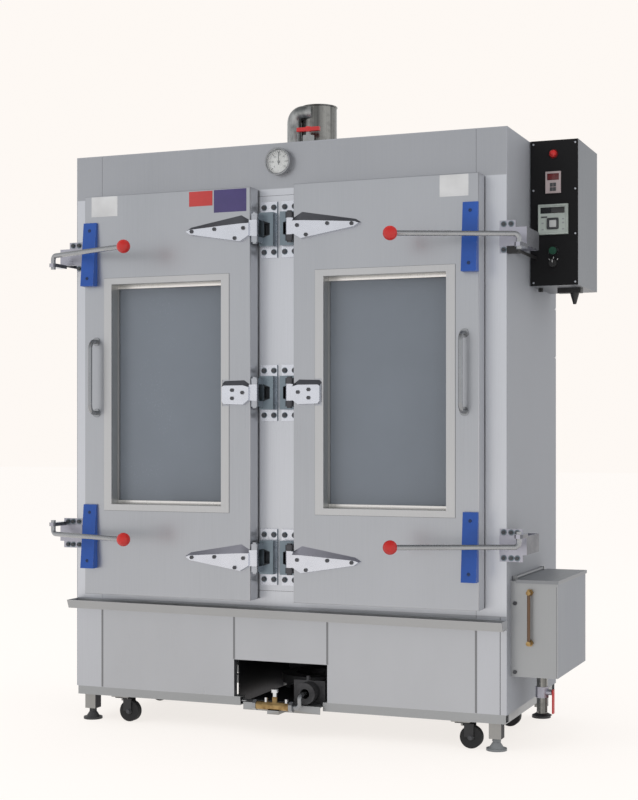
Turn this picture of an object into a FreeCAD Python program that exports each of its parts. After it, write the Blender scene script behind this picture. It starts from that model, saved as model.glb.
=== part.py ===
import FreeCAD, Part
import math
import os
import re

# A gas-heated steam cabinet: two glazed, insulated doors hung on a centre post,
# four lever latches, a feed tank and a control box on its right-hand side.
# All sizes are millimetres. While the pieces are made, X is 0 on the centre line,
# Y is 0 on the front of the frame and grows towards the back, Z is 0 on the floor.
# At the end every piece moves by one shift, which puts the origin at the centre of
# the whole cabinet's footprint.

SIZES = [
    # cabinet body
    ("BodyWidth", 1500), ("BodyDepth", 650), ("BodyTop", 1905),
    ("RailTop", 115), ("RailBottom", 87), ("RailWidth", 40), ("RailWall", 3), ("RailInset", 5),
    ("SheetThickness", 2), ("MatThickness", 46),
    # front frame
    ("StileWidth", 98), ("FrameDepth", 40), ("PostWidth", 200), ("SillHeight", 52),
    ("OpeningBottom", 464), ("OpeningTop", 1736), ("SeamWidth", 2), ("SeamDepth", 1.5),
    ("PanelDepth", 24), ("BayHalf", 163), ("BayTop", 235), ("CornerStrip", 22),
    # water pan and shelves
    ("PanHalf", 400), ("PanFront", 150), ("PanBack", 560), ("PanDepth", 182),
    ("SlotLength", 600), ("SlotWidth", 30), ("SlotPitch", 110),
    ("ShelfFirst", 700), ("ShelfPitch", 240), ("ShelfBar", 8), ("CleatWidth", 22),
    # doors
    ("DoorMargin", 70), ("PostShown", 150), ("DoorBottom", 436), ("DoorTop", 1759),
    ("DoorThickness", 60), ("DoorRounding", 3), ("GasketThickness", 8), ("GasketWidth", 14),
    ("GasketInset", 5), ("WindowInset", 74), ("WindowBottom", 716), ("WindowTop", 1484),
    ("TrimSide", 28), ("TrimEnd", 20), ("TrimProud", 2), ("GlassThickness", 4), ("RingWidth", 10),
    # door hinges
    ("PinX", 60), ("PinSunk", 4), ("PinRadius", 5), ("PinHead", 8), ("BarrelRadius", 12),
    ("BarrelHalf", 26.5), ("LugRadius", 13), ("LugHalf", 45), ("StrapThickness", 8),
    ("StrapRise", 14), ("StrapHalf", 43), ("StrapReach", 244), ("ShortStrapReach", 112),
    ("FlangeWidth", 56), ("FlangeHalf", 90), ("FlangeThickness", 6), ("BlockHalf", 54),
    ("BlockDepth", 24), ("RecessHalf", 19), ("RecessDepth", 16), ("RecessLeft", 15),
    ("RecessRight", 17), ("HingeUpper", 1626), ("HingeMiddle", 1101), ("HingeLower", 573),
    ("HeadRise", 5), ("BoltHead", 6.5), ("BoltHeight", 6), ("BoltSpread", 17), ("BoltMargin", 18),
    # pull handles and latch pads
    ("HandleInset", 45), ("HandleBottom", 1031), ("HandleTop", 1282), ("HandleReach", 50),
    ("HandleRadius", 7), ("PadWidth", 48), ("PadBelow", 109), ("PadAbove", 102),
    ("PadThin", 8), ("PadThick", 30),
    # lever latches
    ("LeverUpper", 1568), ("LeverLower", 632), ("PivotOut", 53), ("PivotSunk", 2),
    ("LeverLength", 385), ("LeverAngle", 23.5), ("RodRadius", 8), ("BallRadius", 22),
    ("LegLength", 46), ("BracketReach", 62), ("BracketInset", 23), ("BracketHalf", 28),
    ("BracketBack", 150), ("BracketPlate", 4), ("BracketFront", 6), ("TabHeight", 22),
    ("TabThickness", 3), ("TabReach", 50), ("ShortTabReach", 22), ("LongTabReach", 72),
    ("FirstBolt", 13), ("SecondBolt", 36), ("ThirdBolt", 55), ("LugThickness", 12), ("EyeRadius", 13),
    # gutter
    ("GutterReach", 67), ("GutterTop", 412), ("GutterDepth", 28), ("GutterFlare", 12),
    ("GutterFall", 9),
    # control box
    ("ControlWidth", 157), ("ControlFront", 280), ("ControlDepth", 294), ("ControlBottom", 1442),
    ("PanelThickness", 3), ("ControlCentre", 78), ("ControllerHalf", 48), ("ControllerHeight", 1652),
    ("ControllerProud", 8), ("ControllerDepth", 75), ("TimerHeight", 1770), ("TimerHalfWidth", 24.5),
    ("TimerHalfHeight", 34.5), ("TimerProud", 6), ("TimerDepth", 60), ("LampHeight", 1861),
    ("LampRadius", 11), ("LampProud", 6), ("ButtonHeight", 1552), ("ButtonTravel", 4),
    ("ButtonRadius", 12), ("ButtonCap", 8), ("CollarWall", 4), ("CollarProud", 7), ("StemReach", 12),
    ("ButtonStem", 6), ("SelectorHeight", 1512), ("SelectorRadius", 12), ("SelectorProud", 12),
    ("SelectorStem", 3),
    # flue, steam pipe and thermometer
    ("FlueX", 5), ("FlueY", 325), ("FlueRadius", 61), ("FlueTop", 2082),
    ("PipeX", -65), ("PipeY", 275), ("PipeRadius", 24), ("PipeHeight", 2056),
    ("ValveX", 12), ("ValveY", 212), ("PipeBend", 32), ("CollarHeight", 6), ("RiserRadius", 13),
    ("NutRadius", 21), ("ValveStem", 4), ("ThermometerHeight", 1843), ("ThermometerRadius", 43.5),
    ("CupDepth", 25), ("CupWall", 4), ("CupFloor", 5), ("NeedlePin", 1.5), ("NeedleLength", 31),
    # feed tank and drain
    ("TankWidth", 146), ("TankFront", 40), ("TankBack", 441), ("TankBottom", 228), ("TankTop", 520),
    ("LidThickness", 4), ("LidGap", 0.3), ("LidOverhang", 4), ("LidLip", 6), ("LidPin", 2.5),
    ("KnuckleRadius", 5), ("GaugeOut", 61), ("GaugeLow", 333), ("GaugeHigh", 487), ("GaugeProud", 26),
    ("GaugeTube", 5),
    ("FeedHeight", 300), ("FeedY", 240), ("FeedRadius", 10),
    ("DrainOut", 61), ("DrainY", 195), ("DrainRadius", 16.8), ("DrainEnd", 94), ("DrainValve", 160),
    ("DrainValveHalf", 17), ("FlareRadius", 31), ("FlareHeight", 6), ("HandleThickness", 5),
    # burner and gas valve
    ("TrayLeft", 121), ("TrayRight", 146), ("TrayFront", 20), ("TrayBottom", 79), ("TrayTop", 103),
    ("BurnerX", 92), ("BurnerHeight", 141), ("MixerRadius", 34), ("HeadRadius", 120), ("HeadY", 320),
    ("GasY", 60), ("GasHeight", 104), ("GasRadius", 13), ("GasLeft", 54), ("GasRight", 59),
    ("InletRadius", 7), ("KnobX", 8),
    # legs, feet and casters
    ("LegSize", 39), ("LegInset", 23), ("LegBottom", 37), ("LegFront", 15), ("FootRadius", 32),
    ("StemRadius", 8), ("CrossRailY", 400), ("WheelRadius", 35), ("WheelWidth", 24),
    ("WheelClear", 2), ("CasterTrail", 30), ("CasterY", 30), ("LeftSwivelIn", 160),
    ("RightSwivelIn", 150), ("RearCasterIn", 100), ("AxleRadius", 4), ("HubWall", 6),
    ("CheekGap", 2), ("CheekThickness", 3), ("CheekRadius", 10), ("CheekReach", 20),
    ("CrownThickness", 4), ("PlateHalfWidth", 30), ("PlateHalfDepth", 25), ("KingPinLength", 14),
    # clearances
    ("RunningGap", 0.05), ("FaceGap", 0.5), ("SlipGap", 0.3),
]

PLACES = [
    ("BodyHalf", "BodyWidth / 2"),
    ("SideInner", "BodyHalf - SheetThickness"),
    ("StileInner", "BodyHalf - StileWidth"),
    ("PostHalf", "PostWidth / 2"),
    ("RoofUnder", "BodyTop - SheetThickness"),
    ("BackInner", "BodyDepth - SheetThickness"),
    ("LinerBack", "BackInner - MatThickness - SheetThickness"),
    ("CeilingTop", "OpeningTop + 2 * SheetThickness"),
    ("FloorUnder", "OpeningBottom - SheetThickness"),
    ("MatInner", "StileInner + SheetThickness"),
    ("SillBottom", "OpeningBottom - SillHeight"),
    ("DoorInner", "PostShown / 2"),
    ("DoorOuter", "BodyHalf - DoorMargin"),
    ("DoorBack", "-GasketThickness"),
    ("DoorFront", "-GasketThickness - DoorThickness"),
    ("DoorShellBack", "DoorBack - SheetThickness"),
    ("GlassLeft", "DoorInner + WindowInset + TrimSide"),
    ("GlassRight", "DoorOuter - WindowInset - TrimSide"),
    ("GlassBottom", "WindowBottom + TrimEnd"),
    ("GlassTop", "WindowTop - TrimEnd"),
    ("PinY", "DoorFront + PinSunk"),
    ("FlangeFace", "-FlangeThickness"),
    ("BlockFace", "FlangeFace - BlockDepth"),
    ("HandleX", "DoorOuter - HandleInset"),
    ("PivotX", "BodyHalf + PivotOut"),
    ("PivotY", "DoorFront + PivotSunk"),
    ("BracketOuter", "BodyHalf + BracketReach"),
    ("BracketInner", "BodyHalf - BracketInset"),
    ("ControlRight", "BodyHalf + ControlWidth"),
    ("ControlBack", "ControlFront + ControlDepth"),
    ("ControlX", "BodyHalf + ControlCentre"),
    ("PanelFace", "ControlFront - PanelThickness"),
    ("TankRight", "BodyHalf + TankWidth"),
    ("LegOuter", "BodyHalf - LegInset"),
    ("LegInner", "LegOuter - LegSize"),
    ("LegCentreX", "LegOuter - LegSize / 2"),
    ("LegCentreY", "LegFront + LegSize / 2"),
    ("AxleHeight", "WheelRadius + WheelClear"),
    ("PlateUnder", "RailBottom - CrownThickness"),
    ("RearCasterY", "CrossRailY + RailWidth / 2"),
    ("PanBottom", "FloorUnder - PanDepth"),
    ("GasLineY", "-GasY"),
    ("LidPivotX", "BodyHalf + 9"),
    ("LidPivotZ", "TankTop + 8"),
    ("GaugeX", "BodyHalf + GaugeOut"),
    ("DrainX", "BodyHalf + DrainOut"),
    ("LeftSwivelX", "BodyHalf - LeftSwivelIn"),
    ("RightSwivelX", "BodyHalf - RightSwivelIn"),
    ("RearCasterX", "BodyHalf - RearCasterIn"),
]

SIZE_NAMES = {name for name, number in SIZES}
PLACE_NAMES = {name for name, formula in PLACES}
TURNS = {
    "x": FreeCAD.Rotation(FreeCAD.Vector(0, 1, 0), 90),
    "y": FreeCAD.Rotation(FreeCAD.Vector(1, 0, 0), -90),
    "z": FreeCAD.Rotation(),
}
OTHER_AXES = {"x": "yz", "y": "xz", "z": "xy"}

doc = FreeCAD.newDocument("SteamCabinet")
sheet = doc.addObject("Spreadsheet::Sheet", "Sizes")
places = doc.addObject("App::FeaturePython", "Places")
sub_parts = []


def tied(formula):
    """A formula whose words are tied to the sheet's sizes and to the worked-out places."""
    def swap(word):
        name = word.group(0)
        if name in SIZE_NAMES:
            return "Sizes." + name
        if name in PLACE_NAMES:
            return "Places." + name
        return name
    return re.sub(r"[A-Za-z]\w*", swap, str(formula))


def fill_sheet():
    """The driving sizes go into the sheet, and the places follow from them."""
    for row, (name, number) in enumerate(SIZES, 1):
        sheet.set("A%d" % row, name)
        sheet.set("B%d" % row, str(number))
        sheet.setAlias("B%d" % row, name)
    doc.recompute()
    for name, formula in PLACES:
        places.addProperty("App::PropertyFloat", name)
        places.setExpression(name, tied(formula))
        doc.recompute()


def at(name):
    """The number that a size or a place has now."""
    if name in SIZE_NAMES:
        return float(sheet.get(name))
    return float(getattr(places, name))


def block(x, y, z):
    """A rectangular block between two corners, each side given as a pair of formulas."""
    shape = doc.addObject("Part::Box", "Block")
    for side, axis, (low, high) in zip(("Length", "Width", "Height"), "xyz", (x, y, z)):
        shape.setExpression(side, tied("(%s) - (%s)" % (high, low)))
        shape.setExpression("Placement.Base." + axis, tied(low))
    return shape


def seated(shape, axis, start, u, v):
    """Turns a shape made along Z onto an axis and puts its first end at start."""
    shape.Placement = FreeCAD.Placement(FreeCAD.Vector(), TURNS[axis])
    shape.setExpression("Placement.Base." + axis, tied(start))
    for other, formula in zip(OTHER_AXES[axis], (u, v)):
        shape.setExpression("Placement.Base." + other, tied(formula))
    return shape


def bar(axis, radius, start, end, u, v):
    """A round bar along an axis, from start to end."""
    shape = doc.addObject("Part::Cylinder", "Bar")
    shape.setExpression("Radius", tied(radius))
    shape.setExpression("Height", tied("(%s) - (%s)" % (end, start)))
    return seated(shape, axis, start, u, v)


def taper(axis, first_radius, last_radius, start, end, u, v):
    """A cone along an axis, from its first radius to its last."""
    shape = doc.addObject("Part::Cone", "Taper")
    shape.setExpression("Radius1", tied(first_radius))
    shape.setExpression("Radius2", tied(last_radius))
    shape.setExpression("Height", tied("(%s) - (%s)" % (end, start)))
    return seated(shape, axis, start, u, v)


def hexagon(axis, radius, start, end, u, v):
    """A six-sided bar along an axis, such as a nut or a bolt head."""
    shape = doc.addObject("Part::Prism", "Hexagon")
    shape.Polygon = 6
    shape.setExpression("Circumradius", tied(radius))
    shape.setExpression("Height", tied("(%s) - (%s)" % (end, start)))
    return seated(shape, axis, start, u, v)


def globe(radius, x, y, z):
    """A ball about a point."""
    shape = doc.addObject("Part::Sphere", "Globe")
    shape.setExpression("Radius", tied(radius))
    return seated(shape, "z", z, x, y)


def cut(base, *tools):
    """The base with each tool taken away."""
    for tool in tools:
        result = doc.addObject("Part::Cut", "Cut")
        result.Base = base
        result.Tool = tool
        base = result
    return base


def joined(*shapes):
    """One solid made of several that meet."""
    result = doc.addObject("Part::MultiFuse", "Joined")
    result.Shapes = list(shapes)
    return result


def mirrored(shape):
    """The same shape on the other side of the centre line."""
    result = doc.addObject("Part::Mirroring", "Mirrored")
    result.Source = shape
    result.Base = FreeCAD.Vector()
    result.Normal = FreeCAD.Vector(1, 0, 0)
    return result


def both(*shapes):
    """Each shape and its mirror image."""
    return list(shapes) + [mirrored(shape) for shape in shapes]


def made(shape, name):
    """A shape that Part's own functions made."""
    feature = doc.addObject("Part::Feature", name)
    feature.Shape = shape
    return feature


def rounded(base, radius, chosen):
    """Fillets those edges of the base that the chosen test accepts."""
    doc.recompute()
    result = doc.addObject("Part::Fillet", "Rounded")
    result.Base = base
    result.Edges = [(number, radius, radius) for number, edge in enumerate(base.Shape.Edges, 1)
                    if chosen(edge)]
    return result


def lies_on(axis, height):
    """A test for edges that lie in the plane square to an axis at a height."""
    def test(edge):
        return all(abs(getattr(vertex.Point, axis) - height) < 0.01 for vertex in edge.Vertexes)
    return test


def part(name, *shapes):
    """One named sub-part made of separate solids."""
    group = doc.addObject("Part::Compound", "SubPart")
    group.Label = name
    group.Links = list(shapes)
    sub_parts.append(group)
    return group


def both_parts(name, *shapes):
    """A right-hand sub-part and its left-hand mirror image."""
    part("right_" + name, *shapes)
    part("left_" + name, *[mirrored(shape) for shape in shapes])


def rounded_path(points, bend):
    """Straight runs through the points, joined by tangent arcs of one bend radius."""
    points = [FreeCAD.Vector(*point) for point in points]
    edges = []
    start = points[0]
    for before, corner, after in zip(points, points[1:], points[2:]):
        back = (before - corner).normalize()
        ahead = (after - corner).normalize()
        half = back.getAngle(ahead) / 2
        reach = bend / math.tan(half)
        first = corner + back * reach
        last = corner + ahead * reach
        centre = corner + (back + ahead).normalize() * (bend / math.sin(half))
        middle = centre + (corner - centre).normalize() * bend
        edges.append(Part.LineSegment(start, first).toShape())
        edges.append(Part.Arc(first, middle, last).toShape())
        start = last
    edges.append(Part.LineSegment(start, points[-1]).toShape())
    return Part.Wire(edges)


def bent_bar(points, radius, bend):
    """A round bar bent along a path."""
    path = rounded_path(points, bend)
    start = FreeCAD.Vector(*points[0])
    ahead = FreeCAD.Vector(*points[1]) - start
    profile = Part.Wire(Part.Circle(start, ahead, radius).toShape())
    return path.makePipeShell([profile], True, False)


def channel(x, y, z):
    """A folded sheet pan, open at the back."""
    outer = block(x, y, z)
    hollow = block((x[0] + " + SheetThickness", x[1] + " - SheetThickness"),
                   (y[0] + " + SheetThickness", y[1]),
                   (z[0] + " + SheetThickness", z[1] + " - SheetThickness"))
    return cut(outer, hollow)


def seam_upright(x, z):
    """A shallow upright groove in the front, centred on x."""
    return block((x + " - SeamWidth / 2", x + " + SeamWidth / 2"), ("-1", "SeamDepth"), z)


def seam_level(x, z):
    """A shallow level groove in the front, centred on a height."""
    return block(x, ("-1", "SeamDepth"), (z + " - SeamWidth / 2", z + " + SeamWidth / 2"))


def plate_box(x, y, z, hole):
    """The floor and four walls of an open tray, as welded plates, with a hole in one end wall.

    The hole is a bar along X, and passes through the wall at the low or the high end."""
    inner_x = (x[0] + " + SheetThickness", x[1] + " - SheetThickness")
    above = (z[0] + " + SheetThickness", z[1])
    floor = block(x, y, (z[0], z[0] + " + SheetThickness"))
    low_end = cut(block((x[0], inner_x[0]), y, above), hole())
    high_end = cut(block((inner_x[1], x[1]), y, above), hole())
    front = block(inner_x, (y[0], y[0] + " + SheetThickness"), above)
    back = block(inner_x, (y[1] + " - SheetThickness", y[1]), above)
    return [floor, low_end, high_end, front, back]


def outer_casing():
    """Side, back and roof sheets, with holes for the flue and the feed pipe."""
    right = cut(block(("SideInner", "BodyHalf"), ("0", "BodyDepth"), ("RailTop", "BodyTop")),
                bar("x", "FeedRadius + SlipGap", "SideInner - 5", "BodyHalf + 5", "FeedY", "FeedHeight"))
    left = block(("-BodyHalf", "-SideInner"), ("0", "BodyDepth"), ("RailTop", "BodyTop"))
    back = block(("-SideInner", "SideInner"), ("BackInner", "BodyDepth"), ("RailTop", "RoofUnder"))
    roof = cut(block(("-SideInner", "SideInner"), ("0", "BodyDepth"), ("RoofUnder", "BodyTop")),
               bar("z", "FlueRadius + SlipGap", "RoofUnder - 5", "BodyTop + 5", "FlueX", "FlueY"))
    part("outer_casing", right, left, back, roof)


def front_frame():
    """Two stiles, a header, a sill and the centre post that carries the hinges."""
    stile = channel(("StileInner", "SideInner"), ("0", "FrameDepth"), ("RailTop", "RoofUnder"))
    stile = cut(stile, seam_upright("StileInner", ("RailTop", "RoofUnder")))
    header = channel(("-StileInner", "StileInner"), ("0", "FrameDepth"), ("OpeningTop", "RoofUnder"))
    header = cut(header, seam_level(("-PostHalf", "PostHalf"), "OpeningTop"))
    sill = channel(("-StileInner", "StileInner"), ("0", "FrameDepth"), ("SillBottom", "OpeningBottom"))
    sill = cut(sill, seam_level(("-PostHalf", "PostHalf"), "OpeningBottom"))
    post = cut(block(("-PostHalf", "PostHalf"), ("0", "FrameDepth"), ("OpeningBottom", "OpeningTop")),
               block(("-PostHalf + SheetThickness", "PostHalf - SheetThickness"),
                     ("SheetThickness", "FrameDepth - SheetThickness"), ("OpeningBottom", "OpeningTop")))
    right_stile = cut(stile, seam_upright("BodyHalf - CornerStrip", ("RailTop", "SillBottom")))
    part("front_frame", right_stile, mirrored(stile), header, sill, post)


def inner_liner():
    """The chamber's five walls, with steam slots in its floor over the water pan."""
    walls = cut(block(("-MatInner", "MatInner"), ("FrameDepth", "LinerBack + SheetThickness"),
                      ("FloorUnder", "CeilingTop")),
                block(("-StileInner", "StileInner"), ("FrameDepth", "LinerBack"),
                      ("OpeningBottom", "CeilingTop - SheetThickness")))
    slots = [block(("-SlotLength / 2", "SlotLength / 2"),
                   ("(PanFront + PanBack) / 2 + %d * SlotPitch - SlotWidth / 2" % row,
                    "(PanFront + PanBack) / 2 + %d * SlotPitch + SlotWidth / 2" % row),
                   ("FloorUnder - 5", "OpeningBottom + 5")) for row in (-1, 0, 1)]
    vent = bar("z", "FlueRadius - SheetThickness", "CeilingTop - 9", "CeilingTop + 5", "FlueX", "FlueY")
    part("inner_liner", cut(walls, vent, *slots))


def water_pan():
    """The pan that the burner heats, hung under the chamber floor, and its feed pipe."""
    def feed_hole():
        return bar("x", "FeedRadius", "PanHalf - 10", "PanHalf + 10", "FeedY", "FeedHeight")
    pan = plate_box(("-PanHalf", "PanHalf"), ("PanFront", "PanBack"), ("PanBottom", "FloorUnder"), feed_hole)
    feed = bar("x", "FeedRadius", "PanHalf - SheetThickness", "BodyHalf", "FeedY", "FeedHeight")
    part("water_pan", *pan, feed)


def insulation():
    """Mats between the chamber and the casing."""
    side = block(("MatInner", "MatInner + MatThickness"), ("FrameDepth", "LinerBack + SheetThickness"),
                 ("FloorUnder - MatThickness", "CeilingTop + MatThickness"))
    back = block(("-MatInner - MatThickness", "MatInner + MatThickness"),
                 ("LinerBack + SheetThickness", "BackInner"),
                 ("FloorUnder - MatThickness", "CeilingTop + MatThickness"))
    top = cut(block(("-MatInner", "MatInner"), ("FrameDepth", "LinerBack + SheetThickness"),
                    ("CeilingTop", "CeilingTop + MatThickness")),
              bar("z", "FlueRadius + SlipGap", "CeilingTop - 5", "CeilingTop + MatThickness + 5",
                  "FlueX", "FlueY"))
    bottom = cut(block(("-MatInner", "MatInner"), ("FrameDepth", "LinerBack + SheetThickness"),
                       ("FloorUnder - MatThickness", "FloorUnder")),
                 block(("-PanHalf", "PanHalf"), ("PanFront", "PanBack"),
                       ("FloorUnder - MatThickness - 5", "FloorUnder + 5")))
    part("insulation", *both(side), back, top, bottom)


def base_panels():
    """Front covers under the doors, with the burner bay between them."""
    side = cut(channel(("BayHalf", "StileInner"), ("0", "PanelDepth"), ("RailTop", "SillBottom")),
               seam_upright("BayHalf", ("BayTop", "SillBottom")))
    lintel = channel(("-BayHalf", "BayHalf"), ("0", "PanelDepth"), ("BayTop", "SillBottom"))
    part("base_panels", *both(side), lintel)


def hollow_rail(axis, x, y, z):
    """A rectangular tube along X or Y."""
    def shrunk(pair, keep):
        if keep:
            return pair
        return (pair[0] + " + RailWall", pair[1] + " - RailWall")
    return cut(block(x, y, z), block(shrunk(x, axis == "x"), shrunk(y, axis == "y"), shrunk(z, False)))


def base_frame():
    """Rails, legs and the burner's tray, the swivel casters' plates and the fixed casters' forks."""
    level = ("RailBottom", "RailTop")
    end = "BodyHalf - RailInset"
    right = hollow_rail("x", ("BayHalf - 15", end), ("0", "RailWidth"), level)
    left = hollow_rail("x", ("-(%s)" % end, "-BayHalf + 22"), ("0", "RailWidth"), level)
    rear = hollow_rail("x", ("-(%s)" % end, end), ("BodyDepth - RailWidth", "BodyDepth"), level)
    cross = hollow_rail("x", ("-(%s) + RailWidth" % end, end + " - RailWidth"),
                        ("CrossRailY", "CrossRailY + RailWidth"), level)
    side = hollow_rail("y", (end + " - RailWidth", end), ("RailWidth", "BodyDepth - RailWidth"), level)
    plates = []
    for swivel in ("-LeftSwivelX", "RightSwivelX"):
        plate = block((swivel + " - PlateHalfWidth", swivel + " + PlateHalfWidth"),
                      ("CasterY - PlateHalfDepth", "CasterY + PlateHalfDepth"), ("PlateUnder", "RailBottom"))
        king_pin = bar("z", "PinRadius", "PlateUnder - KingPinLength", "PlateUnder", swivel, "CasterY")
        plates.append(joined(plate, king_pin))
    legs = []
    for low, high in (("LegFront", "LegFront + LegSize"),
                      ("BodyDepth - LegFront - LegSize", "BodyDepth - LegFront")):
        outer = block(("LegInner", "LegOuter"), (low, high), ("LegBottom", "RailBottom"))
        hollow = block(("LegInner + RailWall", "LegOuter - RailWall"),
                       (low + " + RailWall", high + " - RailWall"), ("LegBottom + RailWall", "RailBottom"))
        hole = bar("z", "StemRadius + SlipGap", "LegBottom - 5", "LegBottom + 5", "LegCentreX",
                   "(%s + %s) / 2" % (low, high))
        legs += both(cut(outer, hollow, hole))
    fixed_forks = [caster_fork(x, "RearCasterY", ("PlateUnder", "RailBottom"))
                   for x in ("-RearCasterX - CasterTrail", "RearCasterX - CasterTrail")]
    part("base_frame", right, left, rear, cross, *both(side), *plates, *legs, *fixed_forks,
         burner_tray(), *burner_shield())


def levelling_feet():
    """A foot on a threaded stem under each leg."""
    feet = []
    for y in ("LegCentreY", "BodyDepth - LegCentreY"):
        disc = bar("z", "FootRadius", "0", "7", "LegCentreX", y)
        neck = taper("z", "FootRadius - 8", "StemRadius + 3", "7", "LegBottom - 10", "LegCentreX", y)
        nut = hexagon("z", "StemRadius + 6", "LegBottom - 10", "LegBottom", "LegCentreX", y)
        stem = bar("z", "StemRadius", "LegBottom", "LegBottom + 30", "LegCentreX", y)
        feet += both(joined(disc, neck, nut, stem))
    part("levelling_feet", *feet)


def caster_fork(x, y, crown):
    """Two cheeks, an axle and a crown, with the wheel trailing towards +X."""
    cheeks = []
    for side in (-1, 1):
        inner = "%s + %d * (WheelWidth / 2 + CheekGap)" % (y, side)
        outer = "%s + %d * (WheelWidth / 2 + CheekGap + CheekThickness)" % (y, side)
        low, high = (inner, outer) if side > 0 else (outer, inner)
        cheeks.append(block((x + " + CasterTrail - CheekReach", x + " + CasterTrail + CheekRadius"),
                            (low, high), ("AxleHeight", crown[0])))
        cheeks.append(bar("y", "CheekRadius", low, high, x + " + CasterTrail", "AxleHeight"))
    half = "(WheelWidth / 2 + CheekGap + CheekThickness)"
    across = ("%s - %s" % (y, half), "%s + %s" % (y, half))
    top = block((x + " - CheekReach", x + " + CasterTrail - CheekRadius + 2"), across, crown)
    axle = bar("y", "AxleRadius", *across, x + " + CasterTrail", "AxleHeight")
    return joined(top, *cheeks, axle)


def caster_wheel(x, y):
    """A solid tyre with a hub, bored to run on the axle."""
    tread = bar("y", "WheelRadius", y + " - WheelWidth / 2", y + " + WheelWidth / 2",
                x + " + CasterTrail", "AxleHeight")
    hub = bar("y", "AxleRadius + HubWall", y + " - WheelWidth / 2 - 1.5", y + " + WheelWidth / 2 + 1.5",
              x + " + CasterTrail", "AxleHeight")
    bore = bar("y", "AxleRadius + RunningGap", y + " - WheelWidth", y + " + WheelWidth",
               x + " + CasterTrail", "AxleHeight")
    return cut(joined(tread, hub), bore)


def casters():
    """Two swivel casters in front and two fixed ones behind."""
    for name, x in (("front_left", "-LeftSwivelX"), ("front_right", "RightSwivelX")):
        fork = caster_fork(x, "CasterY", ("PlateUnder - SlipGap - CrownThickness", "PlateUnder - SlipGap"))
        king_bore = bar("z", "PinRadius + RunningGap", "PlateUnder - 20", "PlateUnder", x, "CasterY")
        part(name + "_caster_fork", cut(fork, king_bore))
        part(name + "_wheel", caster_wheel(x, "CasterY"))
    for name, x in (("rear_left", "-RearCasterX - CasterTrail"), ("rear_right", "RearCasterX - CasterTrail")):
        part(name + "_wheel", caster_wheel(x, "RearCasterY"))


def gutter_outline(x, drop):
    """The gutter's section at one place along it."""
    top = at("GutterTop") - drop
    low = top - at("GutterDepth")
    reach = at("GutterReach")
    floor_reach = reach - at("GutterFlare")
    wall = at("SheetThickness")
    outline = [(0, top), (0, low), (-floor_reach, low), (-reach, top), (-reach + wall, top),
               (-floor_reach + wall, low + wall), (-wall, low + wall), (-wall, top)]
    return Part.makePolygon([FreeCAD.Vector(x, y, z) for y, z in outline + outline[:1]])


def drip_gutter():
    """An open gutter under the doors that falls a little towards the right, with end caps."""
    half = at("BodyHalf")
    fall = at("GutterFall")
    trough = Part.makeLoft([gutter_outline(-half, 0), gutter_outline(half, fall)], True, True)
    caps = []
    for x, drop in ((-half, 0), (half - at("SheetThickness"), fall)):
        top = at("GutterTop") - drop
        low = top - at("GutterDepth") + at("SheetThickness")
        reach = at("GutterReach") - at("SheetThickness") - 0.5
        floor_reach = reach - at("GutterFlare")
        outline = [(-at("SheetThickness") - 0.5, top), (-at("SheetThickness") - 0.5, low + 0.5),
                   (-floor_reach, low + 0.5), (-reach, top)]
        wire = Part.makePolygon([FreeCAD.Vector(x, y, z) for y, z in outline + outline[:1]])
        caps.append(Part.Face(wire).extrude(FreeCAD.Vector(at("SheetThickness"), 0, 0)))
    part("drip_gutter", made(trough, "Trough"), *[made(cap, "EndCap") for cap in caps])


def hinge_block(height):
    """A flange on the post, a block with a recess, and two lugs that hold the pin."""
    left = "PinX + 4 - FlangeWidth"
    flange = block((left, "PinX + 4"), ("FlangeFace", "0"),
                   (height + " - FlangeHalf", height + " + FlangeHalf"))
    body = cut(block((left + " + 4", "PinX"), ("BlockFace", "FlangeFace"),
                     (height + " - BlockHalf", height + " + BlockHalf")),
               block((left + " + RecessLeft", "PinX - RecessRight"),
                     ("BlockFace - 5", "BlockFace + RecessDepth"),
                     (height + " - RecessHalf", height + " + RecessHalf")))
    lugs = []
    for low, high in (("BarrelHalf + FaceGap", "LugHalf"), ("-LugHalf", "-BarrelHalf - FaceGap")):
        span = ("%s + %s" % (height, low), "%s + %s" % (height, high))
        arm = block(("PinX - LugRadius", "PinX"), ("PinY", "BlockFace"), span)
        eye = bar("z", "LugRadius", span[0], span[1], "PinX", "PinY")
        bore = bar("z", "PinRadius + RunningGap", span[0] + " - 5", span[1] + " + 5", "PinX", "PinY")
        lugs.append(cut(joined(arm, eye), bore))
    shank = bar("z", "PinRadius", height + " - LugHalf", height + " + LugHalf", "PinX", "PinY")
    heads = [bar("z", "PinHead", height + " + LugHalf", height + " + LugHalf + HeadRise", "PinX", "PinY"),
             bar("z", "PinHead", height + " - LugHalf - HeadRise", height + " - LugHalf", "PinX", "PinY")]
    return [joined(flange, body, *lugs), joined(shank, *heads)]


def hinge_blocks():
    """Six hinge blocks, three for each door."""
    shapes = []
    for height in ("HingeUpper", "HingeMiddle", "HingeLower"):
        shapes += both(*hinge_block(height))
    part("hinge_blocks", *shapes)


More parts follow.
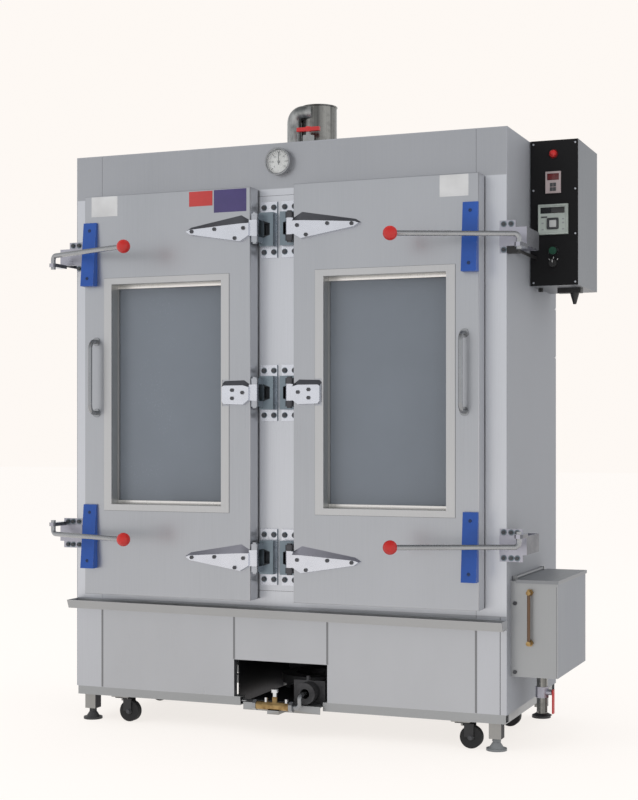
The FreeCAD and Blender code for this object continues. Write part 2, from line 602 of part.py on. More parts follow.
def strap_leaf(height, reach, ridge):
    """The strap on the door: a wide foot drawn down to a tip, with a sloping top face."""
    half = at("StrapHalf")
    neck = at("BarrelHalf") - 1
    start = at("DoorInner") - at("PinX")
    if ridge:
        foot = [(start, neck), (start + 30, half), (reach - 19, 12), (reach, 0), (reach - 19, -14),
                (start + 30, -half), (start, -neck)]
        face = [(start, neck - 10), (start + 30, half - 28), (reach - 19, 3), (reach - 6, -2),
                (reach - 21, -12), (start + 30, 2 - half), (start, 2 - neck)]
    else:
        foot = [(start, neck), (start + 20, half - 3), (reach - 8, half - 5), (reach, half - 13),
                (reach, 13 - half), (reach - 8, 5 - half), (start + 20, 3 - half), (start, -neck)]
        face = [(start, neck - 8), (start + 20, half - 20), (reach - 10, half - 20), (reach - 3, half - 24),
                (reach - 3, 15 - half), (reach - 10, 7 - half), (start + 20, 5 - half), (start, 2 - neck)]
    wires = []
    for depth, outline in ((0, foot), (at("StrapRise"), face)):
        points = [FreeCAD.Vector(at("PinX") + x, at("DoorFront") - depth, at(height) + z) for x, z in outline]
        wires.append(Part.makePolygon(points + points[:1]))
    return made(Part.makeLoft(wires, True, True), "StrapLeaf")


def hinge_strap(height, reach, ridge, bolts):
    """A strap with its barrel, bored for the pin, and its bolt heads."""
    leaf = strap_leaf(height, reach, ridge)
    neck = block(("PinX", "DoorInner + 1"), ("PinY - BarrelRadius", "PinY - BarrelRadius + StrapThickness"),
                 (height + " - BarrelHalf + 1", height + " + BarrelHalf - 1"))
    barrel = bar("z", "BarrelRadius", height + " - BarrelHalf", height + " + BarrelHalf", "PinX", "PinY")
    bore = bar("z", "PinRadius + RunningGap", height + " - LugHalf", height + " + LugHalf", "PinX", "PinY")
    heads = [hexagon("y", "BoltHead", "DoorFront - StrapRise - 4", "DoorFront - StrapRise",
                     "PinX + %s" % x, "%s + %s" % (height, z)) for x, z in bolts]
    return [cut(joined(neck, barrel, leaf), bore)] + heads


def door_hinge_straps():
    """Two long straps and a short one on each door."""
    long_bolts = ((33, 0), (63, -31), (135, 1), (216, -3))
    short_bolts = ((36, 0), (72, 8), (72, -18))
    shapes = hinge_strap("HingeUpper", at("StrapReach"), True, long_bolts)
    shapes += hinge_strap("HingeMiddle", at("ShortStrapReach"), False, short_bolts)
    shapes += hinge_strap("HingeLower", at("StrapReach"), True, long_bolts)
    both_parts("door_hinge_straps", *shapes)


def window_hole(y):
    """The glazed opening through a door, between two depths."""
    return block(("GlassLeft", "GlassRight"), y, ("GlassBottom", "GlassTop"))


def pocket():
    """The space inside a door's shell."""
    return block(("DoorInner + SheetThickness", "DoorOuter - SheetThickness"),
                 ("DoorFront + SheetThickness", "DoorShellBack"),
                 ("DoorBottom + SheetThickness", "DoorTop - SheetThickness"))


def window_sleeve():
    """The space that the reveal round the window takes, its hole included."""
    return block(("GlassLeft - SheetThickness", "GlassRight + SheetThickness"),
                 ("DoorFront + SheetThickness", "DoorShellBack"),
                 ("GlassBottom - SheetThickness", "GlassTop + SheetThickness"))


def door_shell():
    """A pressed front skin with folded edges, a reveal and the window's trim."""
    outer = block(("DoorInner", "DoorOuter"), ("DoorFront", "DoorShellBack"), ("DoorBottom", "DoorTop"))
    rounding = min(at("DoorRounding"), at("SheetThickness") + 1.5)
    outer = rounded(outer, rounding, lies_on("y", at("DoorFront")))
    shell = cut(outer, cut(pocket(), window_sleeve()), window_hole(("DoorFront - 5", "0")))
    trim = cut(block(("DoorInner + WindowInset", "DoorOuter - WindowInset"),
                     ("DoorFront - TrimProud", "DoorFront"), ("WindowBottom", "WindowTop")),
               window_hole(("DoorFront - 5", "DoorFront + 5")),
               block(("PinX", "PinX + ShortStrapReach + SlipGap"), ("DoorFront - 5", "DoorFront + 5"),
                     ("HingeMiddle - StrapHalf", "HingeMiddle + StrapHalf")))
    both_parts("door_shell", shell, trim)


def door_core():
    """The insulation inside a door."""
    both_parts("door_insulation", cut(pocket(), window_sleeve()))


def door_back_pan():
    """The sheet that closes a door's back, and the ring that holds the inner pane."""
    pan = cut(block(("DoorInner", "DoorOuter"), ("DoorShellBack", "DoorBack"), ("DoorBottom", "DoorTop")),
              window_hole(("DoorShellBack - 5", "0")))
    ring = cut(block(("GlassLeft - RingWidth", "GlassRight + RingWidth"), ("DoorBack", "0"),
                     ("GlassBottom - RingWidth", "GlassTop + RingWidth")),
               window_hole(("DoorBack - 5", "5")))
    both_parts("door_back_pan", pan, ring)


def door_glass():
    """Two panes, one in the reveal and one in the ring."""
    panes = []
    for back in ("DoorShellBack", "-2"):
        panes.append(block(("GlassLeft + SlipGap", "GlassRight - SlipGap"),
                           (back + " - GlassThickness", back),
                           ("GlassBottom + SlipGap", "GlassTop - SlipGap")))
    both_parts("door_glass", *panes)


def door_gasket():
    """A soft seal round the back of a door."""
    ring = cut(block(("DoorInner + GasketInset", "DoorOuter - GasketInset"), ("DoorBack", "-SlipGap"),
                     ("DoorBottom + GasketInset", "DoorTop - GasketInset")),
               block(("DoorInner + GasketInset + GasketWidth", "DoorOuter - GasketInset - GasketWidth"),
                     ("DoorBack - 5", "5"),
                     ("DoorBottom + GasketInset + GasketWidth", "DoorTop - GasketInset - GasketWidth")))
    both_parts("door_gasket", ring)


def pull_handle():
    """A bowed handle with a rose at each end."""
    x = at("HandleX")
    front = at("DoorFront")
    out = front - at("HandleReach") + at("HandleRadius")
    low = at("HandleBottom") + at("HandleRadius")
    high = at("HandleTop") - at("HandleRadius")
    rose = 4
    bow = bent_bar([(x, front - rose, low), (x, out, low), (x, out, high), (x, front - rose, high)],
                   at("HandleRadius"), 26)
    roses = [bar("y", "2 * HandleRadius", "DoorFront - %s" % rose, "DoorFront", "HandleX", height)
             for height in ("HandleBottom + HandleRadius", "HandleTop - HandleRadius")]
    both_parts("pull_handle", made(bow, "Bow"), *roses)


def wedge_pads():
    """Tapered pads at the door's outer edge, which the levers press on."""
    pads = []
    for height in ("LeverUpper", "LeverLower"):
        pad = doc.addObject("Part::Wedge", "Pad")
        for side, formula in (("Xmin", "DoorOuter - PadWidth"), ("Xmax", "DoorOuter"),
                              ("X2min", "DoorOuter - PadWidth"), ("X2max", "DoorOuter"),
                              ("Ymin", height + " - PadBelow"), ("Ymax", height + " + PadAbove"),
                              ("Zmin", "-DoorFront"), ("Zmax", "PadThick - DoorFront"),
                              ("Z2min", "-DoorFront"), ("Z2max", "PadThin - DoorFront")):
            pad.setExpression(side, tied(formula))
        pad.Placement = FreeCAD.Placement(FreeCAD.Vector(), FreeCAD.Rotation(FreeCAD.Vector(1, 0, 0), 90))
        pads.append(pad)
    both_parts("wedge_pads", *pads)


def lever(name, height, leg):
    """A latch lever: a round bar that turns down into its pivot leg, with a ball on its end."""
    angle = math.radians(at("LeverAngle"))
    pivot = (at("PivotX"), at("PivotY"))
    level = at(height)
    length = at("LeverLength")
    tip = (pivot[0] - length * math.cos(angle), pivot[1] - length * math.sin(angle))
    inside = 0.7 * at("BallRadius")
    end = (tip[0] + inside * math.cos(angle), tip[1] + inside * math.sin(angle), level)
    rod = bent_bar([end, (*pivot, level), (*pivot, level + leg * at("LegLength"))], at("RodRadius"), 14)
    socket = bent_bar([end, (*pivot, level), (*pivot, level + leg * at("LegLength"))],
                      at("RodRadius") + 0.02, 14)
    ball = Part.makeSphere(at("BallRadius"), FreeCAD.Vector(*tip, level)).cut(socket)
    both_parts(name + "_latch_lever", made(rod, "LeverRod"), made(ball, "LeverBall"))


def latch_bracket(height, leg, top_tab, bottom_tab):
    """A folded bracket on the frame's corner, with a lug bored for the lever's leg."""
    plate = block(("BracketInner", "BracketOuter"), ("-BracketFront", "0"),
                  (height + " - BracketHalf", height + " + BracketHalf"))
    side = block(("BracketOuter - BracketPlate", "BracketOuter"), ("0", "BracketBack"),
                 (height + " - BracketHalf", height + " + BracketHalf"))
    back = block(("BodyHalf", "BracketOuter - BracketPlate"), ("BracketBack - BracketPlate", "BracketBack"),
                 (height + " - BracketHalf", height + " + BracketHalf"))
    tabs = [block(("BracketInner", "BracketInner + " + top_tab), ("-TabThickness", "0"),
                  (height + " + BracketHalf", height + " + BracketHalf + TabHeight")),
            block(("BracketInner", "BracketInner + " + bottom_tab), ("-TabThickness", "0"),
                  (height + " - BracketHalf - TabHeight", height + " - BracketHalf"))]
    near = "%s + %d * (BracketHalf - 2)" % (height, leg)
    far = "%s + %d * (BracketHalf - 2 + LugThickness)" % (height, leg)
    span = (near, far) if leg > 0 else (far, near)
    arm = block(("PivotX - EyeRadius", "PivotX + EyeRadius"), ("PivotY", "-BracketFront"), span)
    step = block(("PivotX - EyeRadius", "BracketOuter"), ("-BracketFront - 0.5", "0"), span)
    eye = bar("z", "EyeRadius", span[0], span[1], "PivotX", "PivotY")
    bore = bar("z", "RodRadius + RunningGap", span[0] + " - 5", span[1] + " + 5", "PivotX", "PivotY")
    return cut(joined(plate, side, back, *tabs, arm, step, eye), bore)


def latch_brackets():
    """Four latch brackets, two at each side."""
    shapes = [latch_bracket("LeverUpper", -1, "TabReach", "ShortTabReach"),
              latch_bracket("LeverLower", 1, "LongTabReach", "LongTabReach")]
    part("latch_brackets", *both(*shapes))


def cabinet_bolts():
    """Bolt heads of the hinge flanges, the latch brackets and the tank."""
    heads = []
    middle = "PinX + 4 - FlangeWidth / 2"
    for height in ("HingeUpper", "HingeMiddle", "HingeLower"):
        for x in (middle + " - BoltSpread", middle + " + BoltSpread"):
            for z in (height + " + FlangeHalf - BoltMargin", height + " - FlangeHalf + BoltMargin"):
                heads += both(hexagon("y", "BoltHead + 1", "FlangeFace - BoltHeight - 1", "FlangeFace", x, z))
    row = ("FirstBolt", "SecondBolt", "ThirdBolt")
    for height, side, count in (("LeverUpper", "+", 2), ("LeverUpper", "-", 1),
                                ("LeverLower", "+", 3), ("LeverLower", "-", 3)):
        level = "%s %s (BracketHalf + TabHeight / 2)" % (height, side)
        for place in row[:count]:
            heads += both(hexagon("y", "BoltHead", "-TabThickness - BoltHeight", "-TabThickness",
                                  "BracketInner + " + place, level))
    for height in ("TankBottom + 14", "TankTop - 68"):
        heads.append(hexagon("y", "BoltHead", "TankFront - 5", "TankFront", "BodyHalf + 14", height))
    part("cabinet_bolts", *heads)


def control_box():
    """A sheet box on the side wall, with its front panel."""
    case = cut(block(("BodyHalf", "ControlRight"), ("ControlFront", "ControlBack"),
                     ("ControlBottom", "BodyTop")),
               block(("BodyHalf + SheetThickness", "ControlRight - SheetThickness"),
                     ("ControlFront", "ControlBack - SheetThickness"),
                     ("ControlBottom + SheetThickness", "RoofUnder")))
    part("control_box_case", case)
    plate = block(("BodyHalf + 4", "ControlRight"), ("PanelFace", "ControlFront"),
                  ("ControlBottom", "BodyTop"))
    button = ("ControlX", "ButtonHeight")
    holes = [block(("ControlX - ControllerHalf + 3", "ControlX + ControllerHalf - 3"),
                   ("PanelFace - 5", "ControlFront + 5"),
                   ("ControllerHeight - ControllerHalf + 3", "ControllerHeight + ControllerHalf - 3")),
             block(("ControlX - TimerHalfWidth + 2", "ControlX + TimerHalfWidth - 2"),
                   ("PanelFace - 5", "ControlFront + 5"),
                   ("TimerHeight - TimerHalfHeight + 2", "TimerHeight + TimerHalfHeight - 2")),
             bar("y", "ButtonStem + RunningGap", "PanelFace - 5", "ControlFront + 5", *button),
             bar("y", "SelectorStem + RunningGap", "PanelFace - 5", "ControlFront + 5",
                 "ControlX", "SelectorHeight")]
    past_collar = ("PanelFace - CollarProud - 5", "PanelFace + 5")
    collar = cut(bar("y", "ButtonRadius + CollarWall", "PanelFace - CollarProud", "PanelFace", *button),
                 bar("y", "ButtonRadius + SlipGap", *past_collar, *button))
    part("control_box_panel", cut(plate, *holes), collar)


def instrument(height, half_width, half_height, proud, depth, body_margin):
    """A panel instrument: a bezel on the panel and a smaller body behind it."""
    bezel = block(("ControlX - " + half_width, "ControlX + " + half_width),
                  ("PanelFace - " + proud, "PanelFace"),
                  ("%s - %s" % (height, half_height), "%s + %s" % (height, half_height)))
    half_x = "(%s - %s)" % (half_width, body_margin)
    half_z = "(%s - %s)" % (half_height, body_margin)
    body = block(("ControlX - " + half_x, "ControlX + " + half_x), ("PanelFace", "ControlFront + " + depth),
                 ("%s - %s" % (height, half_z), "%s + %s" % (height, half_z)))
    return joined(bezel, body)


def controls():
    """The instruments on the front panel."""
    part("temperature_controller",
         instrument("ControllerHeight", "ControllerHalf", "ControllerHalf", "ControllerProud",
                    "ControllerDepth", 3.3))
    part("panel_timer",
         instrument("TimerHeight", "TimerHalfWidth", "TimerHalfHeight", "TimerProud", "TimerDepth", 2.3))
    lamp_face = "PanelFace - LampProud"
    dome = cut(globe("LampRadius - 1", "ControlX", lamp_face, "LampHeight"),
               block(("ControlX - LampRadius", "ControlX + LampRadius"), (lamp_face, "ControlFront + 9"),
                     ("LampHeight - LampRadius", "LampHeight + LampRadius")))
    part("power_lamp", joined(bar("y", "LampRadius", lamp_face, "PanelFace", "ControlX", "LampHeight"), dome))
    cap_back = "PanelFace - SlipGap - ButtonTravel"
    part("start_button",
         joined(bar("y", "ButtonRadius", cap_back + " - ButtonCap", cap_back, "ControlX", "ButtonHeight"),
                bar("y", "ButtonStem", cap_back, "ControlFront + StemReach", "ControlX", "ButtonHeight")))
    knob_face = "PanelFace - SelectorProud"
    part("heat_selector",
         joined(bar("y", "SelectorRadius", knob_face, "PanelFace - SlipGap", "ControlX", "SelectorHeight"),
                block(("ControlX - 3", "ControlX + 3"), (knob_face + " - 5", knob_face),
                      ("SelectorHeight - SelectorRadius + 1", "SelectorHeight + SelectorRadius - 1")),
                bar("y", "SelectorStem", "PanelFace - SlipGap", "ControlFront + StemReach", "ControlX",
                    "SelectorHeight")))


def door_switch():
    """A limit switch by the upper right latch, its conduit, and the glands under the box."""
    body = block(("BodyHalf", "BodyHalf + 36"), ("-4", "22"),
                 ("LeverUpper - BracketHalf - 22", "LeverUpper - BracketHalf - 1"))
    conduit = bar("y", "5", "22", "PanelFace", "BodyHalf + 20", "LeverUpper - BracketHalf - 8")
    small_gland = hexagon("z", "8", "ControlBottom - 12", "ControlBottom", "BodyHalf + 17",
                          "ControlFront + 80")
    socket = block(("BodyHalf + 68", "ControlRight - 13"), ("ControlFront + 96", "ControlFront + 132"),
                   ("ControlBottom - 16", "ControlBottom"))
    relief = taper("z", "5", "15", "ControlBottom - 52", "ControlBottom - 16", "ControlRight - 36",
                   "ControlFront + 114")
    part("door_switch", body, conduit, small_gland, joined(socket, relief))


def flue_duct():
    """The flue, open at both ends, from the chamber's ceiling through the roof."""
    part("flue_duct", cut(bar("z", "FlueRadius", "CeilingTop", "FlueTop", "FlueX", "FlueY"),
                          bar("z", "FlueRadius - SheetThickness", "CeilingTop - 5", "FlueTop + 5",
                              "FlueX", "FlueY")))


def steam_pipe():
    """An elbow from the roof into the flue, and a small valve on its own riser."""
    x, y, level = at("PipeX"), at("PipeY"), at("PipeHeight")
    elbow = bent_bar([(x, y, at("BodyTop")), (x, y, level), (at("FlueX"), y, level)],
                     at("PipeRadius"), at("PipeBend"))
    flue = Part.makeCylinder(at("FlueRadius") + at("SlipGap"), at("FlueTop"),
                             FreeCAD.Vector(at("FlueX"), at("FlueY"), 0))
    past_collar = ("BodyTop - 5", "BodyTop + CollarHeight + 5")
    collar = cut(bar("z", "PipeRadius + CollarWall", "BodyTop", "BodyTop + CollarHeight", "PipeX", "PipeY"),
                 bar("z", "PipeRadius", *past_collar, "PipeX", "PipeY"),
                 bar("z", "FlueRadius + SlipGap", *past_collar, "FlueX", "FlueY"))
    riser = joined(bar("z", "NutRadius", "BodyTop", "BodyTop + 5", "ValveX", "ValveY"),
                   bar("z", "RiserRadius", "BodyTop + 5", "BodyTop + 32", "ValveX", "ValveY"),
                   hexagon("z", "NutRadius", "BodyTop + 32", "BodyTop + 60", "ValveX", "ValveY"),
                   bar("z", "8", "BodyTop + 60", "BodyTop + 72", "ValveX", "ValveY"))
    stem_bore = bar("z", "ValveStem + RunningGap", "BodyTop + 58", "BodyTop + 80", "ValveX", "ValveY")
    part("steam_pipe", made(elbow.cut(flue), "Elbow"), collar, cut(riser, stem_bore))
    part("steam_valve_handle",
         joined(block(("ValveX - 40", "ValveX + 40"), ("ValveY - 7", "ValveY + 7"),
                      ("BodyTop + 75", "BodyTop + 88")),
                bar("z", "9", "BodyTop + 73", "BodyTop + 90", "ValveX", "ValveY"),
                bar("z", "ValveStem", "BodyTop + 59", "BodyTop + 73", "ValveX", "ValveY")))


def thermometer():
    """A dial thermometer on the header: a cup with its pin, and the needle on the pin."""
    cup = cut(bar("y", "ThermometerRadius", "-CupDepth", "0", "0", "ThermometerHeight"),
              bar("y", "ThermometerRadius - CupWall", "-CupDepth - 5", "-CupFloor", "0", "ThermometerHeight"))
    pin = bar("y", "NeedlePin", "-17", "-CupFloor", "0", "ThermometerHeight")
    part("thermometer_case", joined(cup, pin))
    needle = cut(joined(bar("y", "4", "-14", "-11", "0", "ThermometerHeight"),
                        block(("-1.2", "1.2"), ("-13.2", "-11.8"),
                              ("ThermometerHeight - 10", "ThermometerHeight + NeedleLength"))),
                 bar("y", "NeedlePin + RunningGap", "-20", "-CupFloor", "0", "ThermometerHeight"))
    part("thermometer_needle", needle)


def feed_tank():
    """An open water tank on the side wall, and the ears that hold the lid's pin."""
    def feed_hole():
        return bar("x", "FeedRadius", "BodyHalf - 5", "BodyHalf + 5", "FeedY", "FeedHeight")
    tank = plate_box(("BodyHalf", "TankRight"), ("TankFront", "TankBack"), ("TankBottom", "TankTop"),
                     feed_hole)
    ears = []
    for y in ("TankFront + 20", "TankBack - 26"):
        foot = block(("BodyHalf + SheetThickness", "LidPivotX + 6"), (y, y + " + 6"),
                     ("TankTop - 16", "LidPivotZ + 6"))
        hole = bar("y", "LidPin + RunningGap", y + " - 5", y + " + 11", "LidPivotX", "LidPivotZ")
        ears.append(cut(foot, hole))
    pin = bar("y", "LidPin", "TankFront + 18", "TankBack - 18", "LidPivotX", "LidPivotZ")
    part("feed_tank", *tank, *ears, pin)


def tank_lid():
    """The tank's lid, hinged along the wall, with turned-down edges."""
    left, right = "LidPivotX + 8", "TankRight + LidOverhang"
    front, back = "TankFront - LidOverhang", "TankBack + LidOverhang"
    under, over = "TankTop + LidGap", "TankTop + LidGap + LidThickness"
    top = block((left, right), (front, back), (under, over))
    drop = ("TankTop - LidLip", under)
    lips = [block((left, right), (front, front + " + SheetThickness"), drop),
            block((left, right), (back + " - SheetThickness", back), drop),
            block((right + " - SheetThickness", right), (front, back), drop)]
    span = ("TankFront + 30", "TankBack - 30")
    knuckle = joined(bar("y", "KnuckleRadius", *span, "LidPivotX", "LidPivotZ"),
                     block(("LidPivotX", "LidPivotX + 12"), span, (under, over)))
    bore = bar("y", "LidPin + RunningGap", "TankFront", "TankBack", "LidPivotX", "LidPivotZ")
    part("tank_lid", cut(joined(top, *lips, knuckle), bore))


def sight_gauge():
    """A gauge tube between two brass fittings on the tank's front."""
    fittings = []
    for height in ("GaugeLow", "GaugeHigh"):
        arm = bar("y", "GaugeTube + 2", "TankFront - GaugeProud", "TankFront", "GaugeX", height)
        nut = hexagon("y", "11", "TankFront - 8", "TankFront", "GaugeX", height)
        fittings.append(joined(arm, nut))
    tube = bar("z", "GaugeTube", "GaugeLow + GaugeTube + 2", "GaugeHigh - GaugeTube - 2", "GaugeX",
               "TankFront - GaugeProud + 8")
    part("sight_gauge", *fittings, tube)


def drain_pipe():
    """The tank's drain with its valve, and a flared end."""
    centre = ("DrainX", "DrainY")
    pipe = joined(bar("z", "DrainRadius", "DrainEnd", "TankBottom", *centre),
                  hexagon("z", "DrainRadius + 4", "DrainValve - DrainValveHalf",
                          "DrainValve + DrainValveHalf", *centre),
                  bar("x", "9", "DrainX", "DrainX + 31", "DrainY", "DrainValve"))
    stem_bore = bar("x", "ValveStem + RunningGap", "DrainX + 19", "DrainX + 35", "DrainY", "DrainValve")
    flare = taper("z", "FlareRadius", "DrainRadius + 3", "DrainEnd - FlareHeight", "DrainEnd", *centre)
    part("drain_pipe", cut(pipe, stem_bore), flare)
    part("drain_valve_handle",
         joined(block(("DrainX + 33", "DrainX + 33 + HandleThickness"), ("DrainY - 8", "DrainY + 8"),
                      ("DrainValve - 66", "DrainValve + 9")),
                bar("x", "ValveStem", "DrainX + 20", "DrainX + 33", "DrainY", "DrainValve")))


def burner():
    """A cast mixer in the bay, its bar and a ring head under the pan."""
    mixer = joined(bar("y", "MixerRadius", "-TrayFront + 4", "60", "BurnerX", "BurnerHeight"),
                   taper("y", "MixerRadius", "20", "60", "110", "BurnerX", "BurnerHeight"),
                   bar("y", "20", "110", "HeadY", "BurnerX", "BurnerHeight"))
    flange = block(("BurnerX - 56", "BurnerX + 52"), ("30", "42"), ("TrayTop", "BurnerHeight + 36"))
    throat = bar("y", "16", "-TrayFront - 5", "50", "BurnerX", "BurnerHeight")
    wing = hexagon("z", "7", "BurnerHeight + 36", "BurnerHeight + 50", "BurnerX - 8", "36")
    ring = cut(bar("z", "HeadRadius", "BurnerHeight - 12", "BurnerHeight + 16", "0", "HeadY"),
               bar("z", "HeadRadius - 50", "BurnerHeight - 20", "BurnerHeight + 30", "0", "HeadY"))
    feet = [block((x + " - 8", x + " + 8"), ("HeadY - 30", "HeadY - 10"), ("TrayTop", "BurnerHeight"))
            for x in ("BurnerX", "-BurnerX")]
    part("burner", cut(joined(mixer, flange, wing, ring, *feet), throat))


def burner_tray():
    """The tray that carries the burner, on tabs between the front rails."""
    width = ("-TrayLeft", "TrayRight")
    sheet_level = ("TrayTop - 3", "TrayTop")
    tray = joined(block(width, ("-TrayFront", "CrossRailY"), sheet_level),
                  block(width, ("-TrayFront", "-TrayFront + 3"), ("TrayBottom", "TrayTop")))
    tabs = [block(("TrayRight", "BayHalf - 15"), ("8", "32"), sheet_level),
            block(("-BayHalf + 22", "-TrayLeft"), ("8", "32"), sheet_level)]
    saddle = block(("-15", "25"), ("GasLineY - 10", "-TrayFront"), ("TrayBottom", "GasHeight - GasRadius"))
    return joined(tray, saddle, *tabs)


def burner_shield():
    """Sheets at the sides and back of the burner's space, and skirts between the rails below them."""
    outer = "BayHalf - 3"
    level = ("RailTop", "PanBottom - 10")
    rear = "HeadY + HeadRadius + 8"
    depth = ("PanelDepth + 4", rear)
    back = block(("-(%s)" % outer, outer), (rear, rear + " + SheetThickness"), level)
    side = block((outer + " - SheetThickness", outer), depth, level)
    skirt = block((outer + " - SheetThickness", outer), ("RailWidth", "CrossRailY"),
                  ("RailBottom", "RailTop"))
    return [back, *both(side, skirt)]


def gas_valve():
    """A brass valve body with its nuts, and the jet pipe to the mixer's throat."""
    body = joined(bar("x", "GasRadius", "-GasLeft", "GasRight", "GasLineY", "GasHeight"),
                  bar("z", "9", "GasHeight", "GasHeight + 30", "KnobX", "GasLineY"))
    stem_bore = bar("z", "4 + RunningGap", "GasHeight + 8", "GasHeight + 40", "KnobX", "GasLineY")
    nuts = [hexagon("x", "17", "-GasLeft - 12", "-GasLeft", "GasLineY", "GasHeight"),
            hexagon("x", "17", "GasRight", "GasRight + 12", "GasLineY", "GasHeight"),
            hexagon("z", "6", "GasHeight + GasRadius - 1", "GasHeight + 26", "-22", "GasLineY"),
            hexagon("z", "6", "GasHeight + GasRadius - 1", "GasHeight + 24", "48", "GasLineY")]
    x, y, level = at("BurnerX"), at("GasLineY"), at("GasHeight")
    start = at("GasRight") + 12
    jet = bent_bar([(start, y, level), (x, y, level), (x, y, at("BurnerHeight")),
                    (x, -at("TrayFront") + 12, at("BurnerHeight"))], 7, 12)
    inlet = bar("x", "InletRadius", "-GasLeft - 17", "-GasLeft + 12", "GasLineY", "GasHeight")
    part("gas_valve", cut(joined(body, *nuts), stem_bore, inlet), made(jet, "JetPipe"))
    part("gas_knob",
         joined(bar("z", "4", "GasHeight + 9", "GasHeight + 31", "KnobX", "GasLineY"),
                bar("z", "7", "GasHeight + 30.5", "GasHeight + 44", "KnobX", "GasLineY"),
                bar("z", "12", "GasHeight + 44", "GasHeight + 54", "KnobX", "GasLineY")))


def tray_shelves():
    """Four wire shelves on cleats along the chamber's sides."""
    shapes = []
    for row in range(4):
        level = "ShelfFirst + %d * ShelfPitch" % row
        cleat = block(("StileInner - CleatWidth", "StileInner"), ("FrameDepth + 20", "LinerBack - 20"),
                      (level + " - 3", level))
        places_across = ["FrameDepth + 30 + %d * (LinerBack - FrameDepth - 68) / 8" % step
                         for step in range(9)]
        bars = [block(("-StileInner + 6", "StileInner - 6"), (y, y + " + ShelfBar"),
                      (level, level + " + ShelfBar"))
                for y in places_across]
        ties = [block((x, x + " + ShelfBar"), ("FrameDepth + 30", "LinerBack - 30"),
                      (level, level + " + ShelfBar"))
                for x in ("-StileInner + 6", "-4", "StileInner - 6 - ShelfBar")]
        shapes += both(cleat)
        shapes.append(joined(*bars, *ties))
    part("tray_shelves", *shapes)


def build_all():
    """Every sub-part, from the casing outwards."""
    outer_casing()
    front_frame()
    inner_liner()
    water_pan()
    insulation()
    base_panels()
    base_frame()
    levelling_feet()
    casters()
    drip_gutter()
    hinge_blocks()
    latch_brackets()
    cabinet_bolts()
    door_shell()
    door_core()
    door_back_pan()
    door_glass()
    door_gasket()
    door_hinge_straps()
    pull_handle()
    wedge_pads()
    lever("upper", "LeverUpper", -1)
    lever("lower", "LeverLower", 1)
    control_box()
    controls()
    door_switch()
    flue_duct()
    steam_pipe()
    thermometer()
    feed_tank()
    tank_lid()
    sight_gauge()
    drain_pipe()
    burner()
    gas_valve()
    tray_shelves()


def joint_places():
    """The points that the joints turn about, as the sizes set them."""
    pin = (at("PinX"), at("PinY"), at("HingeMiddle"))
    swivel_height = at("PlateUnder")
    points = {
        "right_door": pin,
        "left_door": (-pin[0], pin[1], pin[2]),
        "upper_right_lever": (at("PivotX"), at("PivotY"), at("LeverUpper")),
        "upper_left_lever": (-at("PivotX"), at("PivotY"), at("LeverUpper")),
        "lower_right_lever": (at("PivotX"), at("PivotY"), at("LeverLower")),
        "lower_left_lever": (-at("PivotX"), at("PivotY"), at("LeverLower")),
        "front_left_swivel": (-at("LeftSwivelX"), at("CasterY"), swivel_height),
        "front_right_swivel": (at("RightSwivelX"), at("CasterY"), swivel_height),
        "front_left_wheel": (at("CasterTrail") - at("LeftSwivelX"), at("CasterY"), at("AxleHeight")),
        "front_right_wheel": (at("CasterTrail") + at("RightSwivelX"), at("CasterY"), at("AxleHeight")),
        "rear_left_wheel": (-at("RearCasterX"), at("RearCasterY"), at("AxleHeight")),
        "rear_right_wheel": (at("RearCasterX"), at("RearCasterY"), at("AxleHeight")),
        "steam_valve": (at("ValveX"), at("ValveY"), at("BodyTop") + 80),
        "drain_valve": (at("DrainX") + 30, at("DrainY"), at("DrainValve")),
        "gas_knob": (at("KnobX"), at("GasLineY"), at("GasHeight") + 40),
        "thermometer": (0, -12, at("ThermometerHeight")),
        "tank_lid": (at("LidPivotX"), (at("TankFront") + at("TankBack")) / 2, at("LidPivotZ")),
        "start_button": (at("ControlX"), at("PanelFace"), at("ButtonHeight")),
        "heat_selector": (at("ControlX"), at("PanelFace"), at("SelectorHeight")),
        "body_corner": (-at("BodyHalf"), 0, at("BodyTop")),
    }
    return points


def check_objects():
    """Stops if any object failed or any sub-part's shape is missing or broken."""
    for item in doc.Objects:
        if "Invalid" in item.State or "Error" in item.State:
            raise RuntimeError("%s (%s) failed" % (item.Name, item.Label))
    for item in sub_parts:
        if item.Shape.isNull() or not item.Shape.isValid() or not item.Shape.Solids:
            raise RuntimeError("%s has no sound shape" % item.Label)


def overall_box():
    """The box round every sub-part."""
    box = FreeCAD.BoundBox()
    for item in sub_parts:
        box.add(item.Shape.BoundBox)
    return box


def write_parts():
    """Each sub-part goes to its own file, moved so that the origin is under the middle."""
    box = overall_box()
    shift = FreeCAD.Vector(-(box.XMin + box.XMax) / 2, -(box.YMin + box.YMax) / 2, -box.ZMin)
    for item in sub_parts:
        item.Placement = FreeCAD.Placement(shift, FreeCAD.Rotation())
    doc.recompute()
    check_objects()
    os.makedirs("parts", exist_ok=True)
    for item in sub_parts:
        item.Shape.exportStep("parts/%s.step" % item.Label)
    print("shift %.4f %.4f %.4f" % (shift.x, shift.y, shift.z))
    print("size %.2f %.2f %.2f" % (box.XLength, box.YLength, box.ZLength))
    for name, point in joint_places().items():
        moved = FreeCAD.Vector(*point) + shift
        print("place %s %.5f %.5f %.5f" % (name, moved.x / 1000, moved.y / 1000, moved.z / 1000))
    print("sub-parts", len(sub_parts), "solids", sum(len(item.Shape.Solids) for item in sub_parts))


fill_sheet()
build_all()
doc.recompute()
check_objects()
write_parts()
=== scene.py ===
"""The looks of a steam cabinet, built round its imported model."""
import math

import bmesh
import bpy
from mathutils import Matrix, Vector


